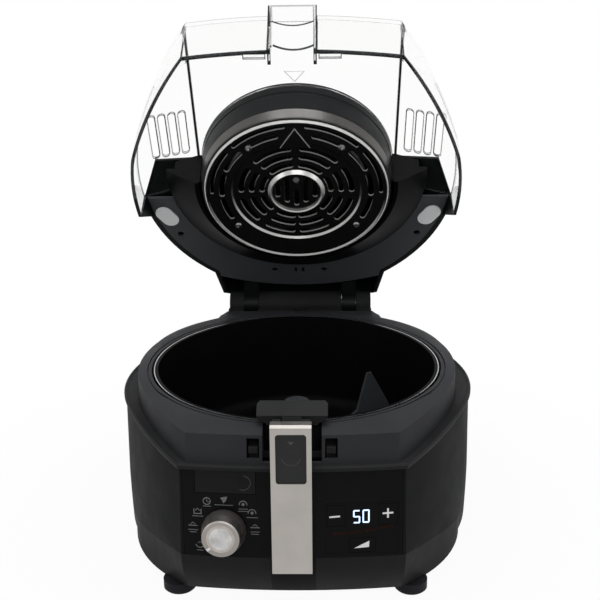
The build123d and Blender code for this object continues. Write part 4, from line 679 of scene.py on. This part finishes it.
PLUS_LEVEL, PLUS_UPRIGHT = [(75.5, 93.7), (82.9, 93.9)], [(79.2, 90.4), (79.2, 97.2)]
WEDGE = [(51.0, 64.0), (63.6, 64.7), (63.8, 70.2)]


def digit(segments, x, z):
    """Strokes for the lit segments of a digit whose lower left corner is at x, z."""
    quads = []
    for key in segments:
        (a0, b0), (a1, b1) = SEGMENTS[key]
        gap_x = SEGMENT_GAP if a0 != a1 else 0
        gap_z = SEGMENT_GAP if b0 != b1 else 0
        quads += stroke([(x + (a0 + gap_x) * DIGIT_W, z + (b0 + gap_z) * DIGIT_H),
                         (x + (a1 - gap_x) * DIGIT_W, z + (b1 - gap_z) * DIGIT_H)], SEGMENT_W)
    return quads


def power_bar(x, z):
    """One bar of the power display."""
    return stroke([(x + a, z + b) for a, b in POWER_BAR], POWER_BAR_H)[0]


digits = [quad for segments, x, z in DIGITS for quad in digit(segments, x, z)]
plates("display_digits", "base", digit_glow, digits, panel, BASE)
plates("power_bars", "base", lamp_red, [power_bar(x, z) for x, z in POWER_BARS], panel, BASE)
plates("minus_mark", "key_minus", white_mark, stroke(MINUS, KEY_MARK_W), panel, BASE)
plus = stroke(PLUS_LEVEL, KEY_MARK_W) + stroke(PLUS_UPRIGHT, KEY_MARK_W)
plates("plus_mark", "key_plus", white_mark, plus, panel, BASE)
plates("level_mark", "key_level", white_mark, [WEDGE], panel, BASE)

# Cover over the fan's motor: steeper than the solid, so that the duct hides it, as in the photo

COVER_OUTSIDE = [(91.9, 195.1), (57.5, 227.5), (54.5, 230.0), (46.5, 230.0)]
COVER_INSIDE = [(46.5, 227.6), (53.5, 227.6), (55.2, 226.0), (89.3, 195.1)]
GRILLE_R, GRILLE_OVERLAP, GRILLE_COUNT, GRILLE_PITCH, GRILLE_W = 46.7, 0.4, 9, 9.6, 5.6
GRILLE_LOW, GRILLE_HIGH = 228.2, 230.4
CORNERS = ((-1, -1), (1, -1), (1, 1), (-1, 1))


def lathe(profile, centre_y, steps=96):
    """Points and faces of a closed (r, z) outline turned about the upright through (0, centre_y)."""
    turns = [tau * i / steps for i in range(steps)]
    points = [(r * cos(a), centre_y + r * sin(a), z) for a in turns for r, z in profile]
    return points, wrapped(steps, len(profile))


def grille():
    """Bars across the round hole in the cover's top."""
    points, faces = [], []
    for i in range(GRILLE_COUNT):
        x = (i - (GRILLE_COUNT - 1) / 2) * GRILLE_PITCH
        half = (GRILLE_R ** 2 - x * x) ** 0.5 + GRILLE_OVERLAP
        k = len(points)
        bar = [(x + a * GRILLE_W / 2, DRUM_Y + b * half) for a, b in CORNERS]
        points += [(*corner, z) for z in (GRILLE_LOW, GRILLE_HIGH) for corner in bar]
        faces += [(k, k + 3, k + 2, k + 1), (k + 4, k + 5, k + 6, k + 7)]
        faces += [(k + j, k + (j + 1) % 4, k + 4 + (j + 1) % 4, k + 4 + j) for j in range(4)]
    return points, faces


cover_profile = (COVER_OUTSIDE + COVER_INSIDE)[::-1]
motor_cover = mesh("motor_cover", "lid", hood_black, *lathe(cover_profile, DRUM_Y), LID)
smooth(motor_cover)
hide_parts("top_cover")
smooth(mesh("motor_grille", "lid", hood_black, *grille(), LID))

# Lower housing: its flanks stand almost upright, as in the photo, where the solid's tuck in

LIP_PLAN = [(95, -158.6), (128, -101), (155.5, -34.6), (166.5, 24), (157, 82), (134, 130), (95, 165),
            (86, 192)]
FOOT_PLAN = [(93, -141.8), (129, -106), (153.5, -40), (164.5, 22), (155.5, 81), (132.5, 129), (94, 164),
             (85.5, 191)]
LIP_FRONT, LIP_HALF, SEAM_NARROW = LIP_PLAN[0][1], max(x for x, y in LIP_PLAN), 0.5
SEAM_PLAN = [(x * (1 - SEAM_NARROW / LIP_HALF), y * (SEAM_FRONT / LIP_FRONT if y < 0 else 1))
             for x, y in LIP_PLAN]
REAR_BOW, FOOT_Z, HOUSING_WALL, CURVE = 6.0, 10.5, 3.0, 1.7
FLOOR_EDGE_LOW, FLOOR_EDGE_HIGH = 23.9, 21.6
GLAND_X, GLAND_Z, GLAND_HOLE, GLAND_FROM, GLAND_TO = 60.0, 34.0, 8.3, 150.0, 215.0


def inset(stations, depth):
    """Move each station inwards along the normal of its neighbours' chord."""
    out = []
    for i, (x, y) in enumerate(stations):
        x0, y0 = stations[i - 1] if i else (-x, y)
        x1, y1 = stations[i + 1] if i + 1 < len(stations) else (-x, y)
        length = hypot(x1 - x0, y1 - y0)
        out.append((x - depth * (y1 - y0) / length, y + depth * (x1 - x0) / length))
    return out


def arc_through(a, b, c, steps=14):
    """Points on the arc from a through b, up to but without c."""
    (ax, ay), (bx, by), (cx, cy) = a, b, c
    d = 2 * (ax * (by - cy) + bx * (cy - ay) + cx * (ay - by))
    pa, pb, pc = ax * ax + ay * ay, bx * bx + by * by, cx * cx + cy * cy
    ux = (pa * (by - cy) + pb * (cy - ay) + pc * (ay - by)) / d
    uy = (pa * (cx - bx) + pb * (ax - cx) + pc * (bx - ax)) / d
    r, start = hypot(ax - ux, ay - uy), atan2(ay - uy, ax - ux)
    sweep = (atan2(cy - uy, cx - ux) - start + pi) % tau - pi
    turns = [start + sweep * i / steps for i in range(steps)]
    return [(ux + r * cos(turn), uy + r * sin(turn)) for turn in turns]


def plan_ring(s):
    """The closed plan through the stations, mirrored, bowed at the front and rear."""
    flank = arc_through(s[0], s[1], s[2]) + arc_through(s[2], s[3], s[4]) + arc_through(s[4], s[5], s[6])
    flank.append(s[6])
    rear = arc_through(s[7], (0, s[7][1] + REAR_BOW), (-s[7][0], s[7][1]))
    front = arc_through((-s[0][0], s[0][1]), (0, s[0][1] - BOW), s[0])
    left = [(-x, y) for x, y in reversed(flank)]
    return flank + rear + [(-s[7][0], s[7][1])] + left + front[1:]


def blend_plan(t):
    """The plan at a share t of the way from the seam to the foot."""
    return [(x0 + t * (x1 - x0), y0 + t * (y1 - y0)) for (x0, y0), (x1, y1) in zip(SEAM_PLAN, FOOT_PLAN)]


def housing_skirt(steps=6):
    """Rings down the outside, in over the floor cover's edge, and up the inside."""
    floor_z = FOOT_Z + HOUSING_WALL
    outside, inside = [], []
    for i in range(steps + 1):
        t = i / steps
        z = SEAM_Z - t * (SEAM_Z - FOOT_Z)
        plan = blend_plan(t ** CURVE)
        outside.append((plan_ring(plan), z))
        inside.append((plan_ring(inset(plan, HOUSING_WALL)), max(z, floor_z)))
    low = (plan_ring(inset(SEAM_PLAN, FLOOR_EDGE_LOW)), FOOT_Z)
    high = (plan_ring(inset(SEAM_PLAN, FLOOR_EDGE_HIGH)), floor_z)
    levels = outside + [low, high] + inside[::-1]
    points = [(x, y, z) for ring, z in levels for x, y in ring]
    return points, wrapped(len(levels), len(levels[0][0]))


def pierce(obj, x, z, r, y0, y1, steps=32):
    """Cut a round hole along Y through an object's mesh."""
    turns = [tau * i / steps for i in range(steps)]
    points = [(x + r * cos(a), y, z + r * sin(a)) for y in (y0, y1) for a in turns]
    faces = [tuple(range(steps)), tuple(range(2 * steps - 1, steps - 1, -1))]
    faces += [(i, steps + i, steps + (i + 1) % steps, (i + 1) % steps) for i in range(steps)]
    data = bpy.data.meshes.new("hole")
    data.from_pydata([BASE @ Vector(p) for p in points], [], faces)
    tool = bpy.data.objects.new("hole", data)
    bpy.context.scene.collection.objects.link(tool)
    cut = obj.modifiers.new("hole", "BOOLEAN")
    cut.operation, cut.solver, cut.object = "DIFFERENCE", "EXACT", tool
    bpy.context.view_layer.update()
    ready = bpy.data.meshes.new_from_object(obj.evaluated_get(bpy.context.evaluated_depsgraph_get()))
    obj.modifiers.remove(cut)
    obj.data = ready
    bpy.data.objects.remove(tool)


skirt = mesh("housing_skirt", "base", chin, *housing_skirt(), BASE)
pierce(skirt, GLAND_X, GLAND_Z, GLAND_HOLE, GLAND_FROM, GLAND_TO)
smooth(skirt)
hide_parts("lower_housing")

# Two ribs under the visor's roof, drawn dark as painted shade: y, sag and radius

RIBS = {"visor_rib_front": (-161.5, 4.5, 0.6), "visor_rib_rear": (-136.6, 5.0, 0.9)}
RIB_HALF, RIB_Z = 18.3, 186.6


def tube_along(line, r, sides=8):
    """A closed tube along a line whose points are all at one height."""
    points, count = [], len(line)
    turns = [tau * k / sides for k in range(sides)]
    for i, (x, y, z) in enumerate(line):
        x0, y0, _ = line[max(i - 1, 0)]
        x1, y1, _ = line[min(i + 1, count - 1)]
        length = hypot(x1 - x0, y1 - y0)
        nx, ny = -(y1 - y0) / length, (x1 - x0) / length
        points += [(x + r * cos(a) * nx, y + r * cos(a) * ny, z + r * sin(a)) for a in turns]
    faces = [(i * sides + k, i * sides + (k + 1) % sides,
              (i + 1) * sides + (k + 1) % sides, (i + 1) * sides + k)
             for i in range(count - 1) for k in range(sides)]
    return points, faces + [tuple(reversed(range(sides))), tuple(range((count - 1) * sides, count * sides))]


def rib_line(y, sag, steps=12):
    """A shallow curve across the visor, further back in its middle."""
    shares = [2 * i / steps - 1 for i in range(steps + 1)]
    return [(RIB_HALF * share, y + sag * (1 - share ** 2), RIB_Z) for share in shares]


for name, (y, sag, r) in RIBS.items():
    smooth(mesh(name, "lid", clear_rib_shade, *tube_along(rib_line(y, sag), r), LID))

# Raised arrow on the handle's slider, drawn lighter as a painted highlight; crescents of painted highlight on
# the dimples of the slider and the lid button; and the arrow in the clear lid, drawn light as a painted
# highlight

SLIDER_Y, SLIDER_TOP, SLIDER_LEAN, SLIDER_DEPTH = -183.2, 183.5, radians(2.6), 1.1
SLIDER_ARROW = [(-2.6, 169.2), (0.0, 166.4), (2.6, 169.2)]
# Crescents of painted highlight on the lit edges of the dimples
SLIDER_DIMPLE_HIGHLIGHT = arc(0, 156.0, 7.4, 190, 350, 16)
BUTTON_DIMPLE_HIGHLIGHT = arc(-41.1, 121.5, 6.6, 250, 440, 16, squash=0.94)
DIMPLE_LINE, SLIDER_OUT = 0.5, 0.15
LID_ARROW = [(-9.0, -106.5), (9.0, -106.5), (0.0, -95.0), (-9.0, -106.5)]
LID_ARROW_LINE, LID_ARROW_H, ROOF_Z = 0.7, 0.3, 189.2


def slider_face(x, z, out):
    """A point on the slider, or a little in front of it."""
    return (x, SLIDER_Y - (SLIDER_TOP - z) * sin(SLIDER_LEAN) + SLIDER_DEPTH - out, z)


def lid_roof(x, y, out):
    """A point under the clear lid's roof."""
    return (x, y, ROOF_Z - out)


plates("slider_arrow", "grip_slider", mark_highlight, [SLIDER_ARROW], slider_face, BASE, SLIDER_OUT)
slider_dimple_highlight = stroke(SLIDER_DIMPLE_HIGHLIGHT, DIMPLE_LINE)
plates("slider_dimple_highlight", "grip_slider", mark_highlight, slider_dimple_highlight, slider_face, BASE, SLIDER_OUT)
plates("button_dimple_highlight", "lid_push_button", mark_highlight, stroke(BUTTON_DIMPLE_HIGHLIGHT, DIMPLE_LINE), panel, BASE)
# The clear lid's moulded arrow, drawn in light strokes: painted highlight
lid_arrow = stroke(LID_ARROW, LID_ARROW_LINE)
plates("lid_arrow", "lid", clear_arrow_highlight, lid_arrow, lid_roof, LID, LID_ARROW_H, sink=0.0)

# Camera: fitted to the photo, with focal length and centre in its pixels

AZ, PITCH, ROLL = radians(1.66), radians(21.16), radians(-0.76)
DISTANCE, AIM_Z = 1075.1, 170
PICTURE, FOCAL, CENTRE_X, CENTRE_Y = 600, 1144.1, 296.24, 357.64
SENSOR = 36.0

back = Vector((sin(AZ) * cos(PITCH), -cos(AZ) * cos(PITCH), sin(PITCH)))
right = Vector((cos(AZ), sin(AZ), 0))
up = back.cross(right)
right, up = cos(ROLL) * right + sin(ROLL) * up, cos(ROLL) * up - sin(ROLL) * right
camera = bpy.data.objects.new("camera", bpy.data.cameras.new("camera"))
bpy.context.scene.collection.objects.link(camera)
eye = Vector((0, AXIS_Y, AIM_Z)) + DISTANCE * back
camera.matrix_world = Matrix.Translation(eye * MM) @ Matrix((right, up, back)).transposed().to_4x4()
camera.data.sensor_width = SENSOR
camera.data.lens = FOCAL / PICTURE * SENSOR
camera.data.shift_x = (PICTURE / 2 - CENTRE_X) / PICTURE
camera.data.shift_y = (CENTRE_Y - PICTURE / 2) / PICTURE
bpy.context.scene.camera = camera

# Floor and world, in metres: they look white, and light the object less than white would

FLOOR_HALF, FLOOR_PATCH = 90, 2.0
FLOOR_LOW, FLOOR_HIGH = rgb(0.62), rgb(0.65)
WHITE_NEAR, WHITE_FAR, NEAR, FAR = 0.95, 1.0, 0.2, 0.45
SKY, SKY_STRENGTH = rgb(0.9, 0.92, 0.95), 0.26


def seen_rays(tree):
    """1 for what is seen, also in a reflection or through the clear lid, and 0 for light."""
    path = tree.add("ShaderNodeLightPath").outputs
    return tree.most(path["Is Camera Ray"], path["Is Glossy Ray"], path["Is Transmission Ray"])


floor_mesh = bpy.data.meshes.new("floor")
floor_mesh.from_pydata([(a * FLOOR_HALF, b * FLOOR_HALF, 0) for a, b in CORNERS], [], [(0, 1, 2, 3)])
floor = bpy.data.objects.new("floor", floor_mesh)
bpy.context.scene.collection.objects.link(floor)
paper = material("floor")
paper_colour = paper.mix(paper.noise(FLOOR_PATCH), FLOOR_LOW, FLOOR_HIGH)
diffuse = paper.add("ShaderNodeBsdfDiffuse", {"Color": paper_colour})
white = paper.add("ShaderNodeEmission", {"Color": rgb(1.0), "Strength": 1.0})
reach = paper.vector("LENGTH", paper.coord).outputs["Value"]
white_share = paper.times(seen_rays(paper), paper.span(reach, WHITE_NEAR, WHITE_FAR, NEAR, FAR))
floor_mesh.materials.append(paper.show(
    paper.add("ShaderNodeMixShader", {0: white_share, 1: diffuse.outputs[0], 2: white.outputs[0]})))

sky = Tree(bpy.data.worlds.new("studio"), "ShaderNodeOutputWorld")
soft = sky.add("ShaderNodeBackground", {"Color": SKY, "Strength": SKY_STRENGTH})
plain = sky.add("ShaderNodeBackground", {"Color": rgb(1.0)})
bpy.context.scene.world = sky.show(
    sky.add("ShaderNodeMixShader", {0: seen_rays(sky), 1: soft.outputs[0], 2: plain.outputs[0]}))

# Lamps, in metres and watts: place, size and power

LAMP_AIM = (0, 0, 0.2)
LAMPS = {
    "top": ((0.0, -0.2, 1.9), (1.4, 1.2), 22),
    "left": ((-1.6, -0.9, 1.1), (0.9, 1.4), 6),
    "right": ((1.7, -0.7, 1.0), (0.9, 1.4), 6),
    "front": ((0.2, -2.2, 1.4), (1.6, 0.8), 11),
}
for name, (at, size, power) in LAMPS.items():
    light = bpy.data.lights.new(name, "AREA")
    light.shape = "RECTANGLE"
    light.size, light.size_y = size
    light.energy = power
    lamp = bpy.data.objects.new(name, light)
    bpy.context.scene.collection.objects.link(lamp)
    lamp.location = at
    lamp.rotation_euler = (Vector(at) - Vector(LAMP_AIM)).to_track_quat("Z", "Y").to_euler()

bpy.context.scene.view_settings.view_transform = "Standard"
